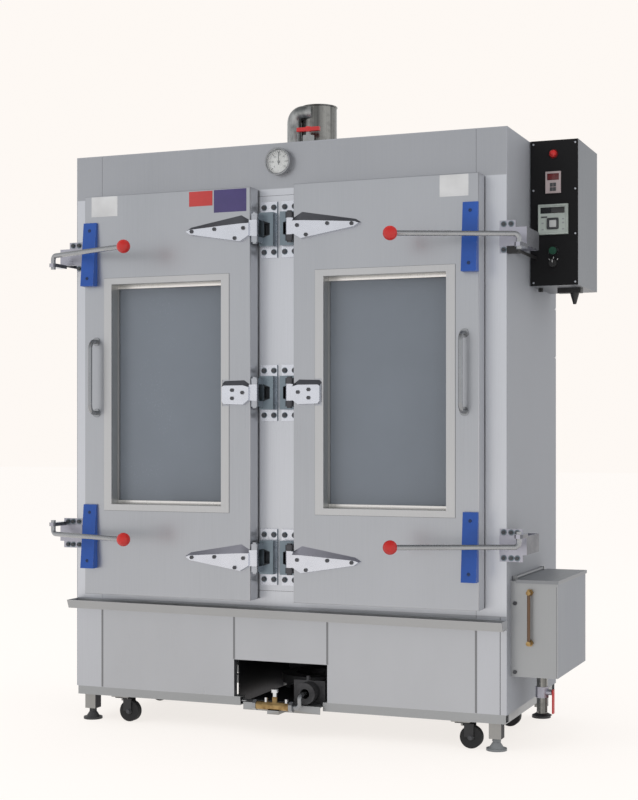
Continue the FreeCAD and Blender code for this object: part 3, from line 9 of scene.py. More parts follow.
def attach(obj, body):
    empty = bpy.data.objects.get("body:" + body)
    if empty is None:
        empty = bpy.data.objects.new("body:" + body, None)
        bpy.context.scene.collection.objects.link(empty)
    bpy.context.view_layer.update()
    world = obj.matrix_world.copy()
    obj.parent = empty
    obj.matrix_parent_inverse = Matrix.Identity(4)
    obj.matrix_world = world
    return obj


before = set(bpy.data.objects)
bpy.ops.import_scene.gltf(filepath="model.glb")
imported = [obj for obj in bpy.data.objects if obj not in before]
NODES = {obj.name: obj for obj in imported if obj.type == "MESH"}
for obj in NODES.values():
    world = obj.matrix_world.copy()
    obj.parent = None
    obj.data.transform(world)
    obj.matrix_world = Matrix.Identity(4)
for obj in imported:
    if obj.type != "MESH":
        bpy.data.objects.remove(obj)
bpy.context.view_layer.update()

# Places below are in millimetres from the front frame's middle at floor level, as in
# the CAD source, and this shift takes them to the row frame.
SHIFT = Vector((-0.0455, -0.2042408, 0.0))
MM = 0.001
SAME_PLACE = 1e-6

# The body, the doors and their windows.
BODY_HALF = 750
BODY_BACK = 650
DOOR_FRONT = -68.0
DOOR_EDGES = (76, 679)
PANE_BACK = -9
TRIM_X = (149, 606)
TRIM_Z = (716, 1484)
BEAD_X = (177, 578)
BEAD_Z = (736, 1464)

# The hinges and the latches.
HINGE_HEIGHTS = (1626, 1101, 573)
STRAP_FACE = DOOR_FRONT - 14.0
STRAP_ROOT = 74
LATCH_HEIGHTS = (1568, 632)
LEVER_PIVOT = (803, -66)
LEVER_REACH = 385
LEVER_ANGLE = math.radians(23.5)
BALL_X = LEVER_PIVOT[0] - LEVER_REACH * math.cos(LEVER_ANGLE)
BALL_Y = LEVER_PIVOT[1] - LEVER_REACH * math.sin(LEVER_ANGLE)

# The wheels: name, x, y and the body that carries the axle.
WHEELS = (("front_left", -560, 30, "front_left_caster_fork"),
          ("front_right", 630, 30, "front_right_caster_fork"),
          ("rear_left", -650, 420, "root"),
          ("rear_right", 650, 420, "root"))
AXLE_HEIGHT = 37

# The dial, the control panel and the flue.
DIAL_FACE = -5.0
DIAL_HEIGHT = 1843.0
DIAL_START = -130
DIAL_SWEEP = 260
PANEL_FACE = 277.0
TIMER_FACE = PANEL_FACE - 6
CONTROLLER_FACE = PANEL_FACE - 8
PANEL_X = 828
FLUE_AXIS = (5, 325)
VALVE_AXIS = (12, 212)

# How much of a normal points along an axis on a face that looks that way.
FACING = 0.5

# The part of a noise's range that most of it lies in.
NOISE_SPAN = (0.3, 0.7)


def spot(x, y, z):
    """A place in the row frame, in metres."""
    return Vector((x, y, z)) * MM + SHIFT


def scaled(color, factor):
    """A colour made lighter or darker."""
    return tuple(min(1.0, channel * factor) for channel in color)


class Surface:
    """A Principled material and the nodes that feed it."""

    def __init__(self, name, **settings):
        self.material = bpy.data.materials.new(name)
        self.material.use_nodes = True
        self.tree = self.material.node_tree
        self.shader = self.tree.nodes["Principled BSDF"]
        self.coordinates = self.tree.nodes.new("ShaderNodeTexCoord").outputs["Object"]
        for key, value in settings.items():
            self.shader.inputs[key.replace("_", " ")].default_value = value

    def feed(self, socket, value):
        """Links an output or sets a plain value."""
        if isinstance(value, bpy.types.NodeSocket):
            self.tree.links.new(value, socket)
        else:
            socket.default_value = value

    def stretched(self, stretch):
        """Object coordinates scaled along the axes."""
        node = self.tree.nodes.new("ShaderNodeMapping")
        node.inputs["Scale"].default_value = stretch
        self.feed(node.inputs["Vector"], self.coordinates)
        return node.outputs["Vector"]

    def noise(self, scale, detail=3.0, stretch=(1, 1, 1), rough=0.5):
        """A noise from 0 to 1."""
        node = self.tree.nodes.new("ShaderNodeTexNoise")
        node.inputs["Scale"].default_value = scale
        node.inputs["Detail"].default_value = detail
        node.inputs["Roughness"].default_value = rough
        self.feed(node.inputs["Vector"], self.stretched(stretch))
        return node.outputs["Fac"]

    def cells(self, scale, stretch=(1, 1, 1)):
        """A random grey in each cell, as zinc crystals have."""
        node = self.tree.nodes.new("ShaderNodeTexVoronoi")
        node.inputs["Scale"].default_value = scale
        self.feed(node.inputs["Vector"], self.stretched(stretch))
        split = self.tree.nodes.new("ShaderNodeSeparateColor")
        self.feed(split.inputs["Color"], node.outputs["Color"])
        return split.outputs["Red"]

    def height(self):
        """Height above the floor, from the object's coordinates."""
        node = self.tree.nodes.new("ShaderNodeSeparateXYZ")
        self.feed(node.inputs["Vector"], self.coordinates)
        return node.outputs["Z"]

    def ranged(self, value, low, high, start=0.0, end=1.0):
        """A value taken from the range start to end to the range low to high, and kept inside it."""
        node = self.tree.nodes.new("ShaderNodeMapRange")
        for key, number in (("Value", value), ("From Min", start), ("From Max", end),
                            ("To Min", low), ("To Max", high)):
            self.feed(node.inputs[key], number)
        return node.outputs["Result"]

    def sum(self, first, second, operation="ADD"):
        """Two values put together."""
        node = self.tree.nodes.new("ShaderNodeMath")
        node.operation = operation
        self.feed(node.inputs[0], first)
        self.feed(node.inputs[1], second)
        return node.outputs["Value"]

    def mixed(self, factor, first, second, blend="MIX"):
        """A colour between two, or the two put together."""
        node = self.tree.nodes.new("ShaderNodeMix")
        node.data_type = "RGBA"
        node.blend_type = blend
        self.feed(node.inputs["Factor"], factor)
        colors = [socket for socket in node.inputs if socket.type == "RGBA"]
        for socket, color in zip(colors, (first, second)):
            self.feed(socket, color if isinstance(color, bpy.types.NodeSocket) else (*color, 1.0))
        return next(socket for socket in node.outputs if socket.type == "RGBA")

    def clouded(self, noise, color, darkest, lightest):
        """A colour that wanders between two strengths of itself, as a noise does."""
        share = self.ranged(noise, 0.0, 1.0, *NOISE_SPAN)
        return self.mixed(share, scaled(color, darkest), scaled(color, lightest))

    def edges(self, radius):
        """1 along the shape's edges and 0 on its flats."""
        bevel = self.tree.nodes.new("ShaderNodeBevel")
        bevel.samples = 4
        bevel.inputs["Radius"].default_value = radius
        normal = self.tree.nodes.new("ShaderNodeNewGeometry").outputs["Normal"]
        dot = self.tree.nodes.new("ShaderNodeVectorMath")
        dot.operation = "DOT_PRODUCT"
        self.feed(dot.inputs[0], bevel.outputs["Normal"])
        self.feed(dot.inputs[1], normal)
        return self.ranged(dot.outputs["Value"], 1.0, 0.0, 0.80, 0.985)

    def worn(self, tone, radius, amount, color):
        """A tone with another colour along the shape's edges: rubbed wear, and a painted highlight where the
        edges catch the light.
        """
        return self.mixed(self.ranged(self.edges(radius), 0.0, amount), tone, color)

    def bump(self, height, strength, distance):
        """Relief from a height value."""
        node = self.tree.nodes.new("ShaderNodeBump")
        node.inputs["Strength"].default_value = strength
        node.inputs["Distance"].default_value = distance
        self.feed(node.inputs["Height"], height)
        self.feed(self.shader.inputs["Normal"], node.outputs["Normal"])

    def color(self, value):
        """Sets the base colour."""
        self.feed(self.shader.inputs["Base Color"], value)

    def rough(self, value):
        """Sets the roughness."""
        self.feed(self.shader.inputs["Roughness"], value)


def brushed(name, color, rough=0.34, grain=(600, 600, 6), metallic=0.9, streak=0.35, bands=()):
    """Brushed sheet: fine grain along one axis, cloudy handling marks, and brighter edges, partly wear and
    partly a painted highlight.

    Each band is a lowest and a highest level in metres and how much brighter the sheet is painted between
    them, as painted light.
    """
    s = Surface(name, Metallic=metallic)
    fine = s.noise(1.0, 4.0, grain, 0.6)
    cloud = s.noise(2.2, 4.0, (1, 1, 0.6), 0.55)
    tone = s.clouded(cloud, color, 0.93, 1.06)
    tone = s.mixed(s.ranged(fine, 0.0, streak, 0.35, 0.65), tone, scaled(color, 1.14))
    # Painted light: the sheet is painted brighter between each band's levels.
    for low, high, gain in bands:
        inside = s.sum(s.ranged(s.height(), 0.0, 1.0, low, low + 0.003),
                       s.ranged(s.height(), 1.0, 0.0, high, high + 0.003), "MULTIPLY")
        band = s.mixed(inside, (1.0, 1.0, 1.0), (gain, gain, gain))
        tone = s.mixed(1.0, tone, band, "MULTIPLY")
    # The edges are painted lighter: wear and a painted highlight.
    s.color(s.worn(tone, 0.0016, 0.55, scaled(color, 1.5)))
    s.rough(s.sum(s.ranged(fine, rough - 0.05, rough + 0.06, *NOISE_SPAN),
                  s.ranged(cloud, -0.03, 0.05, *NOISE_SPAN)))
    s.bump(fine, 0.05, 0.0004)
    return s.material


def rolled(name, dark, light, rough=0.2, stretch=(30, 30, 0.8)):
    """Polished sheet with long dark and light streaks down it: painted reflections, as bent bright metal
    shows.
    """
    s = Surface(name, Metallic=0.92)
    streak = s.noise(1.0, 3.0, stretch, 0.6)
    spots = s.noise(60.0, 3.0)
    tone = s.mixed(s.ranged(streak, 0.0, 1.0, 0.36, 0.64), dark, light)
    s.color(s.mixed(s.ranged(spots, 0.0, 0.4, 0.5, 0.75), tone, dark))
    s.rough(s.ranged(streak, rough - 0.06, rough + 0.10, *NOISE_SPAN))
    s.bump(streak, 0.06, 0.002)
    return s.material


def plated(name, color, rough=0.3, grain=90.0, mottle=0.12, stain=0.6):
    """Zinc or nickel plate: small crystals, a slightly uneven shine, and lighter edges, partly worn and
    partly a painted highlight.
    """
    s = Surface(name, Metallic=0.92)
    cell = s.cells(grain)
    cloud = s.noise(14.0, 5.0)
    tone = s.mixed(s.ranged(cell, 0.0, 1.0), scaled(color, 1.0 - mottle), scaled(color, 1.0 + mottle))
    tone = s.mixed(s.ranged(cloud, 0.0, stain, 0.45, 0.75), tone, scaled(color, 0.72))
    s.color(s.worn(tone, 0.0012, 0.6, scaled(color, 1.35)))
    s.rough(s.sum(s.ranged(cell, rough - 0.05, rough + 0.05), s.ranged(cloud, -0.05, 0.12, 0.3, 0.75)))
    s.bump(cloud, 0.08, 0.001)
    return s.material


def painted(name, color, under=(0.45, 0.46, 0.48), rough=0.38, gloss=0.35):
    """Paint with a faint orange peel, rubbed thin on its edges."""
    s = Surface(name, Metallic=0.0, Specular_IOR_Level=gloss)
    peel = s.noise(420.0, 2.0)
    cloud = s.noise(9.0, 4.0)
    tone = s.clouded(cloud, color, 0.85, 1.12)
    chips = s.sum(s.edges(0.001), s.ranged(s.noise(160.0, 3.0), 0.0, 1.0, 0.5, 0.6), "MULTIPLY")
    s.color(s.mixed(s.ranged(chips, 0.0, 0.8), tone, under))
    s.rough(s.ranged(cloud, rough - 0.06, rough + 0.10, *NOISE_SPAN))
    s.bump(peel, 0.10, 0.0004)
    return s.material


def moulded(name, color, rough=0.45, grain=900.0, relief=0.12):
    """Moulded plastic or rubber with a spark-eroded grain, and lighter edges, partly worn and partly a
    painted highlight.
    """
    s = Surface(name, Metallic=0.0)
    fine = s.noise(grain, 2.0)
    cloud = s.noise(11.0, 4.0)
    tone = s.clouded(cloud, color, 0.88, 1.10)
    s.color(s.worn(tone, 0.0008, 0.4, scaled(color, 1.5)))
    s.rough(s.ranged(cloud, rough - 0.06, rough + 0.08, *NOISE_SPAN))
    s.bump(fine, relief, 0.0003)
    return s.material


def cast(name, color, rough=0.62, metallic=0.75):
    """Sand-cast metal with a coarse skin, and much lighter edges, partly worn and partly a painted highlight.
    """
    s = Surface(name, Metallic=metallic)
    coarse = s.noise(260.0, 5.0)
    cloud = s.noise(18.0, 4.0)
    tone = s.clouded(cloud, color, 0.7, 1.3)
    s.color(s.worn(tone, 0.0015, 0.6, scaled(color, 2.2)))
    s.rough(s.ranged(coarse, rough - 0.08, rough + 0.10, *NOISE_SPAN))
    s.bump(coarse, 0.35, 0.0015)
    return s.material


def turned_brass(name, color, dull=(0.20, 0.12, 0.05), rough=0.32):
    """Brass with tarnish in its hollows, and lighter edges, partly worn and partly a painted highlight."""
    s = Surface(name, Metallic=1.0)
    tarnish = s.noise(45.0, 5.0)
    tone = s.mixed(s.ranged(tarnish, 0.0, 0.9, 0.45, 0.7), color, dull)
    s.color(s.worn(tone, 0.0010, 0.7, scaled(color, 1.3)))
    s.rough(s.ranged(tarnish, rough - 0.06, rough + 0.22, 0.35, 0.7))
    s.bump(s.noise(500.0, 2.0), 0.08, 0.0004)
    return s.material


def fibre(name, color):
    """Mineral wool."""
    s = Surface(name, Metallic=0.0)
    strand = s.noise(60.0, 8.0, (1, 4, 9), 0.7)
    s.color(s.clouded(strand, color, 0.6, 1.15))
    s.rough(s.ranged(strand, 0.85, 1.0))
    s.bump(strand, 0.8, 0.004)
    return s.material


def pane(name, color, rough, alpha):
    """Glass with a film of condensate on it."""
    s = Surface(name, Metallic=0.0, IOR=1.5, Alpha=alpha)
    film = s.noise(3.0, 4.0)
    drops = s.noise(240.0, 3.0)
    s.color(s.clouded(film, color, 0.94, 1.06))
    s.rough(s.sum(s.ranged(film, rough, rough + 0.08, *NOISE_SPAN), s.ranged(drops, 0.0, 0.05, 0.5, 0.7)))
    s.bump(drops, 0.02, 0.0003)
    return s.material


# Sheet steel. The grain runs along z, along x, or along y on the tank's lid.
ALONG_X = (6, 600, 600)
ALONG_Y = (600, 6, 600)
# Painted light: these two bands paint the front frame brighter below its header.
GUTTER_LIT_BAND = (-1.0, 0.410, 1.25)
DOORWAY_LIT_BAND = (0.413, 1.757, 1.52)
STEEL_DOOR = brushed("SteelDoor", (0.425, 0.440, 0.470))
# A painted highlight: a lighter copy of the door's sheet, for the door shell's side faces.
STEEL_EDGE_HIGHLIGHT = brushed("SteelEdgeHighlight", (0.545, 0.555, 0.58), 0.40)
STEEL_LINE = brushed("SteelLine", (0.22, 0.225, 0.235), 0.42)
# Painted light: a shaded and a lit copy of the glazing beads' steel.
BEAD_SHADED = brushed("BeadShaded", (0.38, 0.385, 0.39), 0.36)
BEAD_LIT = brushed("BeadLit", (0.84, 0.82, 0.80), 0.30)
STEEL_FRAME = brushed("SteelFrame", (0.385, 0.397, 0.425), bands=(GUTTER_LIT_BAND, DOORWAY_LIT_BAND))
STEEL_PANEL = brushed("SteelPanel", (0.455, 0.468, 0.495), streak=0.1)
STEEL_SIDE = brushed("SteelSide", (0.33, 0.342, 0.372), 0.6, metallic=0.15)
STEEL_BOX = brushed("SteelBox", (0.23, 0.242, 0.262), 0.46, metallic=0.8)
STEEL_TANK = brushed("SteelTank", (0.37, 0.38, 0.39), 0.40, metallic=0.8)
# Painted shade: a darker copy of the tank's sheet, for its outer side.
TANK_SHADED_SIDE = brushed("TankShadedSide", (0.25, 0.268, 0.30), 0.42, metallic=0.8)
STEEL_LID = brushed("SteelLid", (0.275, 0.285, 0.30), 0.45, ALONG_Y)
WINDOW_TRIM = brushed("WindowTrim", (0.52, 0.525, 0.535), 0.36)
STEEL_TRIM = brushed("SteelTrim", (0.37, 0.378, 0.39), 0.38)
STEEL_REVEAL = brushed("SteelReveal", (0.56, 0.565, 0.56), 0.48)
STEEL_LEG = brushed("SteelLeg", (0.33, 0.328, 0.32), 0.42)
# Painted light: the gutter's trough is painted much lighter than its front.
GUTTER_LIT_TROUGH = brushed("GutterLitTrough", (0.72, 0.73, 0.76), 0.36, ALONG_X)
GUTTER_LIP = brushed("GutterLip", (0.38, 0.387, 0.395), 0.38, ALONG_X)
STEEL_INNER = brushed("SteelInner", (0.44, 0.45, 0.46), 0.42, ALONG_X)
# Painted shade: near-black sheet for faces that lie in shade.
STEEL_SHADE = brushed("SteelShade", (0.035, 0.035, 0.04), 0.50)
STEEL_BASE = brushed("SteelBase", (0.36, 0.37, 0.38), 0.42, ALONG_X)
FLUE_STEEL = rolled("FlueSteel", (0.085, 0.086, 0.083), (0.34, 0.337, 0.322))
PIPE_STEEL = rolled("PipeSteel", (0.19, 0.20, 0.20), (0.47, 0.48, 0.48), 0.36, (45, 45, 20))

# Plated, cast and turned metal.
ZINC = plated("Zinc", (0.20, 0.245, 0.28), 0.34, 120.0, 0.04, 0.3)
ZINC_LUG = plated("ZincLug", (0.44, 0.46, 0.50), 0.30, 160.0, 0.03, 0.2)
ZINC_BRIGHT = plated("ZincBright", (0.66, 0.68, 0.74), 0.24, 160.0, 0.02, 0.15)
ZINC_PLATE = plated("ZincPlate", (0.42, 0.42, 0.48), 0.34, 160.0, 0.02, 0.15)
ZINC_DULL = plated("ZincDull", (0.40, 0.41, 0.41), 0.45, 60.0)
# Painted shade: a darker copy of the zinc, for faces in shade.
ZINC_SHADE = plated("ZincShade", (0.165, 0.17, 0.19), 0.42, 160.0, 0.03, 0.2)
NICKEL = plated("Nickel", (0.70, 0.71, 0.73), 0.18, 300.0, 0.03, 0.2)
CHROME_DARK = plated("ChromeDark", (0.30, 0.31, 0.325), 0.16, 300.0, 0.03, 0.3)
BOLT_STEEL = plated("BoltSteel", (0.09, 0.092, 0.10), 0.40, 240.0)
LEVER_ROD = plated("LeverRod", (0.36, 0.37, 0.385), 0.22, 200.0, 0.03, 0.3)
# Painted shade: near black for the hinge blocks' recesses.
RECESS_SHADE = cast("RecessShade", (0.05, 0.055, 0.062), 0.6)
CAST_BLACK = cast("CastBlack", (0.085, 0.085, 0.09))
BRASS = turned_brass("Brass", (0.42, 0.29, 0.13))

# Paint, plastic, rubber, wool and glass.
PAINT_BLUE = painted("PaintBlue", (0.022, 0.085, 0.36))
PANEL_BLACK = painted("PanelBlack", (0.009, 0.009, 0.010), rough=0.5, gloss=0.16)
BALL_RED = moulded("BallRed", (0.54, 0.016, 0.013), 0.22, 300.0, 0.03)
PAD_SCREW = moulded("PadScrew", (0.012, 0.032, 0.11), 0.4)
DIPPED_RED = moulded("DippedRed", (0.60, 0.03, 0.03), 0.40, 500.0)
PLASTIC_BLACK = moulded("PlasticBlack", (0.015, 0.015, 0.016))
PLASTIC_GREY = moulded("PlasticGrey", (0.46, 0.51, 0.47), 0.36)
PLASTIC_PINK = moulded("PlasticPink", (0.46, 0.38, 0.38), 0.36)
KEY_GREY = moulded("KeyGrey", (0.30, 0.31, 0.32), 0.40)
KEY_LIGHT = moulded("KeyLight", (0.55, 0.56, 0.55), 0.40)
KEY_DARK = moulded("KeyDark", (0.055, 0.058, 0.062), 0.35)
DISPLAY_RED = moulded("DisplayRed", (0.10, 0.008, 0.010), 0.08, 200.0, 0.0)
DISPLAY_BLACK = moulded("DisplayBlack", (0.010, 0.011, 0.012), 0.08, 200.0, 0.0)
SEGMENT = moulded("Segment", (0.20, 0.02, 0.02), 0.3)
LAMP_RED = moulded("LampRed", (0.60, 0.02, 0.02), 0.15, 200.0, 0.02)
LAMP_RING = moulded("LampRing", (0.16, 0.008, 0.008), 0.30)
BUTTON_GREEN = moulded("ButtonGreen", (0.007, 0.062, 0.034), 0.30)
TYRE = moulded("TyreRubber", (0.016, 0.016, 0.017), 0.75, 500.0, 0.3)
SEAL = moulded("SealRubber", (0.05, 0.05, 0.052), 0.75, 500.0, 0.2)
FOOT_GREY = moulded("FootGrey", (0.24, 0.25, 0.26), 0.55, 300.0)
FOOT_SHADE = moulded("FootShade", (0.05, 0.05, 0.052), 0.55, 300.0)
TUBE_BROWN = moulded("GaugeTube", (0.13, 0.07, 0.035), 0.15, 200.0, 0.02)
FORK_BLACK = moulded("ForkBlack", (0.022, 0.022, 0.024), 0.5, 300.0)
DIAL_WHITE = moulded("DialWhite", (0.82, 0.82, 0.80), 0.4, 300.0, 0.02)
MARK_BLACK = moulded("MarkBlack", (0.01, 0.01, 0.01), 0.5)
MARK_WHITE = moulded("MarkWhite", (0.75, 0.75, 0.74), 0.5)
PLATE_WHITE = moulded("PlateWhite", (0.64, 0.64, 0.645), 0.42, 300.0, 0.03)
PLATE_RED = moulded("PlateRed", (0.50, 0.045, 0.042), 0.38, 300.0, 0.03)
PLATE_BLUE = moulded("PlateBlue", (0.06, 0.045, 0.155), 0.38, 300.0, 0.03)
WOOL = fibre("MineralWool", (0.62, 0.55, 0.38))
WINDOW = pane("WindowGlass", (0.19, 0.215, 0.25), 0.16, 0.93)
WINDOW_BACK = pane("WindowBack", (0.40, 0.42, 0.45), 0.10, 0.45)
LENS = pane("DialLens", (0.85, 0.87, 0.88), 0.03, 0.12)


def dress(node, *materials, choose=None):
    """Gives a CAD node its materials; choose picks one by each face's centre and normal."""
    mesh = NODES[node].data
    mesh.materials.clear()
    for material in materials:
        mesh.materials.append(material)
    for face in mesh.polygons:
        face.material_index = choose((face.center - SHIFT) / MM, face.normal) if choose else 0


def both_doors(node, *materials, choose=None):
    """Gives a node of the left door and its twin of the right door their materials."""
    dress("left_" + node, *materials, choose=choose)
    dress("right_" + node, *materials, choose=choose)


def plain_nodes():
    """Nodes of one material each."""
    for node, material in (
            ("outer_casing", STEEL_SIDE),
            ("inner_liner", STEEL_INNER),
            ("water_pan", STEEL_INNER),
            ("insulation", WOOL),
            ("base_panels", STEEL_PANEL),
            ("cabinet_bolts", BOLT_STEEL),
            ("burner", CAST_BLACK),
            ("tray_shelves", NICKEL),
            ("tank_lid", STEEL_LID),
            ("flue_duct", FLUE_STEEL),
            ("steam_valve_handle", DIPPED_RED),
            ("drain_valve_handle", DIPPED_RED),
            ("thermometer_case", STEEL_TRIM),
            ("thermometer_needle", MARK_BLACK),
            ("control_box_case", STEEL_BOX),
            ("control_box_panel", PANEL_BLACK),
            ("temperature_controller", PLASTIC_GREY),
            ("panel_timer", PLASTIC_PINK),
            ("power_lamp", LAMP_RED),
            ("start_button", BUTTON_GREEN),
            ("heat_selector", PLASTIC_BLACK),
            ("door_switch", PLASTIC_BLACK),
            ("front_left_caster_fork", FORK_BLACK),
            ("front_right_caster_fork", FORK_BLACK)):
        dress(node, material)
    for node, material in (
            ("door_insulation", WOOL),
            ("door_back_pan", STEEL_INNER),
            ("door_gasket", SEAL),
            ("pull_handle", CHROME_DARK),
            ("wedge_pads", PAINT_BLUE)):
        both_doors(node, material)


def shell_choice(p, n):
    """The window's trim, the reveal behind it, the shell's outer edges, painted lighter as a highlight, and
    its front.
    """
    if p.y < DOOR_FRONT - 0.5:
        return 1
    if abs(n.x) > FACING and (abs(p.x) < DOOR_EDGES[0] or abs(p.x) > DOOR_EDGES[1]):
        return 3
    in_window = TRIM_X[0] - 1 < abs(p.x) < TRIM_X[1] + 1 and TRIM_Z[0] - 1 < p.z < TRIM_Z[1] + 1
    behind_front = DOOR_FRONT + 0.5 < p.y < PANE_BACK
    return 2 if in_window and behind_front and abs(n.y) < FACING else 0


def strap_choice(p, n):
    """Bolt heads, barrel, sloping top face and the rest of a hinge strap; the sloping top face is painted
    darker on the upper straps than on the lower ones, as shade.
    """
    if p.y < STRAP_FACE - 0.2:
        return 1
    if abs(p.x) < STRAP_ROOT:
        return 2
    if n.z > 0.25 and p.y > STRAP_FACE + 0.2:
        upper_straps = p.z > 1000
        return 3 if upper_straps else 4
    return 0


def block_choice(p, n):
    """The recess, painted near black as shade, the flange, the lugs, painted light on the left and near black
    on the right as light and shade, and the body of a hinge block.
    """
    recess_half = 24.5
    recess_x = (20, 46.5)
    recess_y = (-30.5, -13.5)
    flange_face = -6.2
    flange_start = 54.2
    from_middle = min(abs(p.z - height) for height in HINGE_HEIGHTS)
    beside = recess_x[0] <= abs(p.x) <= recess_x[1]
    if from_middle < recess_half and beside and recess_y[0] < p.y < recess_y[1]:
        return 1
    if p.y > flange_face and (from_middle > flange_start or abs(n.x) < FACING):
        return 2
    if p.y < recess_y[0]:
        return 3 if p.x < 0 else 4
    return 0


def base_choice(p, n):
    """The burner's shield and the legs' shaded sides, both painted near black as shade, the legs, and the
    rails.
    """
    shield_half = 164
    shield_front = 24
    rail_bottom = 86.9
    leg_start = 680
    if abs(p.x) < shield_half and p.y > shield_front:
        return 2
    if p.z < rail_bottom and abs(p.x) > leg_start and n.x > FACING:
        return 2
    return 1 if p.z < rail_bottom else 0


def bracket_choice(p, n):
    """The side, painted dark as shade, the top, painted light as a highlight, and the front of a latch
    bracket.
    """
    if abs(n.x) > FACING:
        return 1
    return 2 if abs(n.z) > FACING else 0


def lever_choice(p, n):
    """The ball is red and the bar isn't."""
    skin = (20.0, 22.5)
    level = LATCH_HEIGHTS[0] if p.z > HINGE_HEIGHTS[1] else LATCH_HEIGHTS[1]
    from_ball = (Vector((abs(p.x), p.y, p.z)) - Vector((BALL_X, BALL_Y, level))).length
    return int(skin[0] < from_ball < skin[1])


def frame_choice(p, n):
    """The back of the front frame's sheet, seen through its seams, is painted near black as shade."""
    sheet_back = 1.5
    return int(abs(p.y - sheet_back) < 0.3)


def gutter_choice(p, n):
    """The gutter's front and underside, apart from its trough, which is painted much lighter as painted
    light.
    """
    return int(n.y < -0.3 or n.z < -0.5)


def steam_choice(p, n):
    """The valve on the roof, apart from the elbow."""
    return int(math.hypot(p.x - VALVE_AXIS[0], p.y - VALVE_AXIS[1]) < 25)


def gauge_choice(p, n):
    """The sight gauge's tube, apart from its fittings."""
    tube_axis = (811, 22)
    tube_skin = 5.2
    tube_z = (340.5, 479.5)
    on_tube = math.hypot(p.x - tube_axis[0], p.y - tube_axis[1]) < tube_skin
    return int(on_tube and tube_z[0] < p.z < tube_z[1])


def drain_choice(p, n):
    """The drain pipe's foot, its valve and the pipe."""
    foot_top = 94.5
    valve_z = (139, 181)
    if p.z < foot_top:
        return 1
    return 2 if valve_z[0] < p.z < valve_z[1] else 0


def gas_choice(p, n):
    """The gas valve's unions, its two nipples and its body."""
    body_half = 53
    body_top = 117
    stem_x = 8
    if abs(p.x) > body_half:
        return 2
    return int(p.z > body_top and abs(p.x - stem_x) > 12)


def knob_choice(p, n):
    """The gas knob's cap, apart from its stem."""
    stem_top = 134.5
    return int(p.z > stem_top)


def foot_choice(p, n):
    """The feet that stand in the light, and the others, which are painted dark as shade."""
    return int(p.x < 0 or p.y > 200)


def tank_choice(p, n):
    """The tank's outer side, painted darker as shade, apart from the rest."""
    return int(n.x > FACING and p.x > 890)


def split_nodes():
    """Nodes whose solids or faces differ in material."""
    both_doors("door_shell", STEEL_DOOR, WINDOW_TRIM, STEEL_REVEAL, STEEL_EDGE_HIGHLIGHT, choose=shell_choice)
    both_doors("door_glass", WINDOW, WINDOW_BACK, choose=lambda p, n: int(p.y > PANE_BACK))
    both_doors("door_hinge_straps", ZINC_BRIGHT, BOLT_STEEL, ZINC_BRIGHT, ZINC_SHADE, ZINC_PLATE,
               choose=strap_choice)
    dress("hinge_blocks", ZINC, RECESS_SHADE, ZINC_BRIGHT, ZINC_LUG, BOLT_STEEL, choose=block_choice)
    dress("latch_brackets", ZINC_PLATE, ZINC_SHADE, ZINC_BRIGHT, choose=bracket_choice)
    dress("front_frame", STEEL_FRAME, STEEL_SHADE, choose=frame_choice)
    dress("drip_gutter", GUTTER_LIT_TROUGH, GUTTER_LIP, choose=gutter_choice)
    for level in ("upper", "lower"):
        both_doors(level + "_latch_lever", LEVER_ROD, BALL_RED, choose=lever_choice)
    for name, x, _, _ in WHEELS:
        dress(name + "_wheel", TYRE, ZINC_DULL,
              choose=lambda p, n, x=x: int(math.hypot(p.x - x, p.z - AXLE_HEIGHT) < 10.6))
    dress("base_frame", STEEL_BASE, STEEL_LEG, STEEL_SHADE, choose=base_choice)
    dress("steam_pipe", PIPE_STEEL, ZINC_DULL, choose=steam_choice)
    dress("sight_gauge", BRASS, TUBE_BROWN, choose=gauge_choice)
    dress("drain_pipe", FLUE_STEEL, PLASTIC_BLACK, ZINC_PLATE, choose=drain_choice)
    dress("gas_valve", BRASS, NICKEL, CHROME_DARK, choose=gas_choice)
    dress("gas_knob", BRASS, NICKEL, choose=knob_choice)
    dress("levelling_feet", FOOT_GREY, FOOT_SHADE, choose=foot_choice)
    dress("feed_tank", STEEL_TANK, TANK_SHADED_SIDE, choose=tank_choice)


def piece(name, fill, material, body, angle=35.0):
    """A new piece whose mesh the fill function makes, riding on a body."""
    shape = bmesh.new()
    fill(shape)
    bmesh.ops.remove_doubles(shape, verts=shape.verts, dist=SAME_PLACE)
    bmesh.ops.recalc_face_normals(shape, faces=shape.faces)
    for edge in shape.edges:
        if len(edge.link_faces) == 2:
            edge.smooth = edge.calc_face_angle(0.0) < math.radians(angle)
    for face in shape.faces:
        face.smooth = True
    mesh = bpy.data.meshes.new(name)
    shape.to_mesh(mesh)
    shape.free()
    mesh.materials.append(material)
    made = bpy.data.objects.new(name, mesh)
    bpy.context.scene.collection.objects.link(made)
    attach(made, body)
    return made


def slab(shape, low, high, bevel=0.4, turn=None):
    """A block with softened edges, between two corners in millimetres."""
    low, high = spot(*low), spot(*high)
    size = high - low
    made = bmesh.ops.create_cube(shape, size=1.0)["verts"]
    middle = Matrix.Translation((low + high) / 2)
    matrix = middle @ (turn or Matrix.Identity(4)) @ Matrix.Diagonal((*size, 1.0))
    bmesh.ops.transform(shape, matrix=matrix, verts=made)
    if bevel:
        edges = list({edge for vert in made for edge in vert.link_edges})
        bmesh.ops.bevel(shape, geom=edges, offset=bevel * MM, segments=2, profile=0.5, affect="EDGES")


AXES = {"-y": Matrix.Rotation(math.radians(90), 4, "X"), "+y": Matrix.Rotation(math.radians(-90), 4, "X"),
        "+z": Matrix.Identity(4), "-z": Matrix.Rotation(math.radians(180), 4, "X"),
        "+x": Matrix.Rotation(math.radians(90), 4, "Y"), "-x": Matrix.Rotation(math.radians(-90), 4, "Y")}


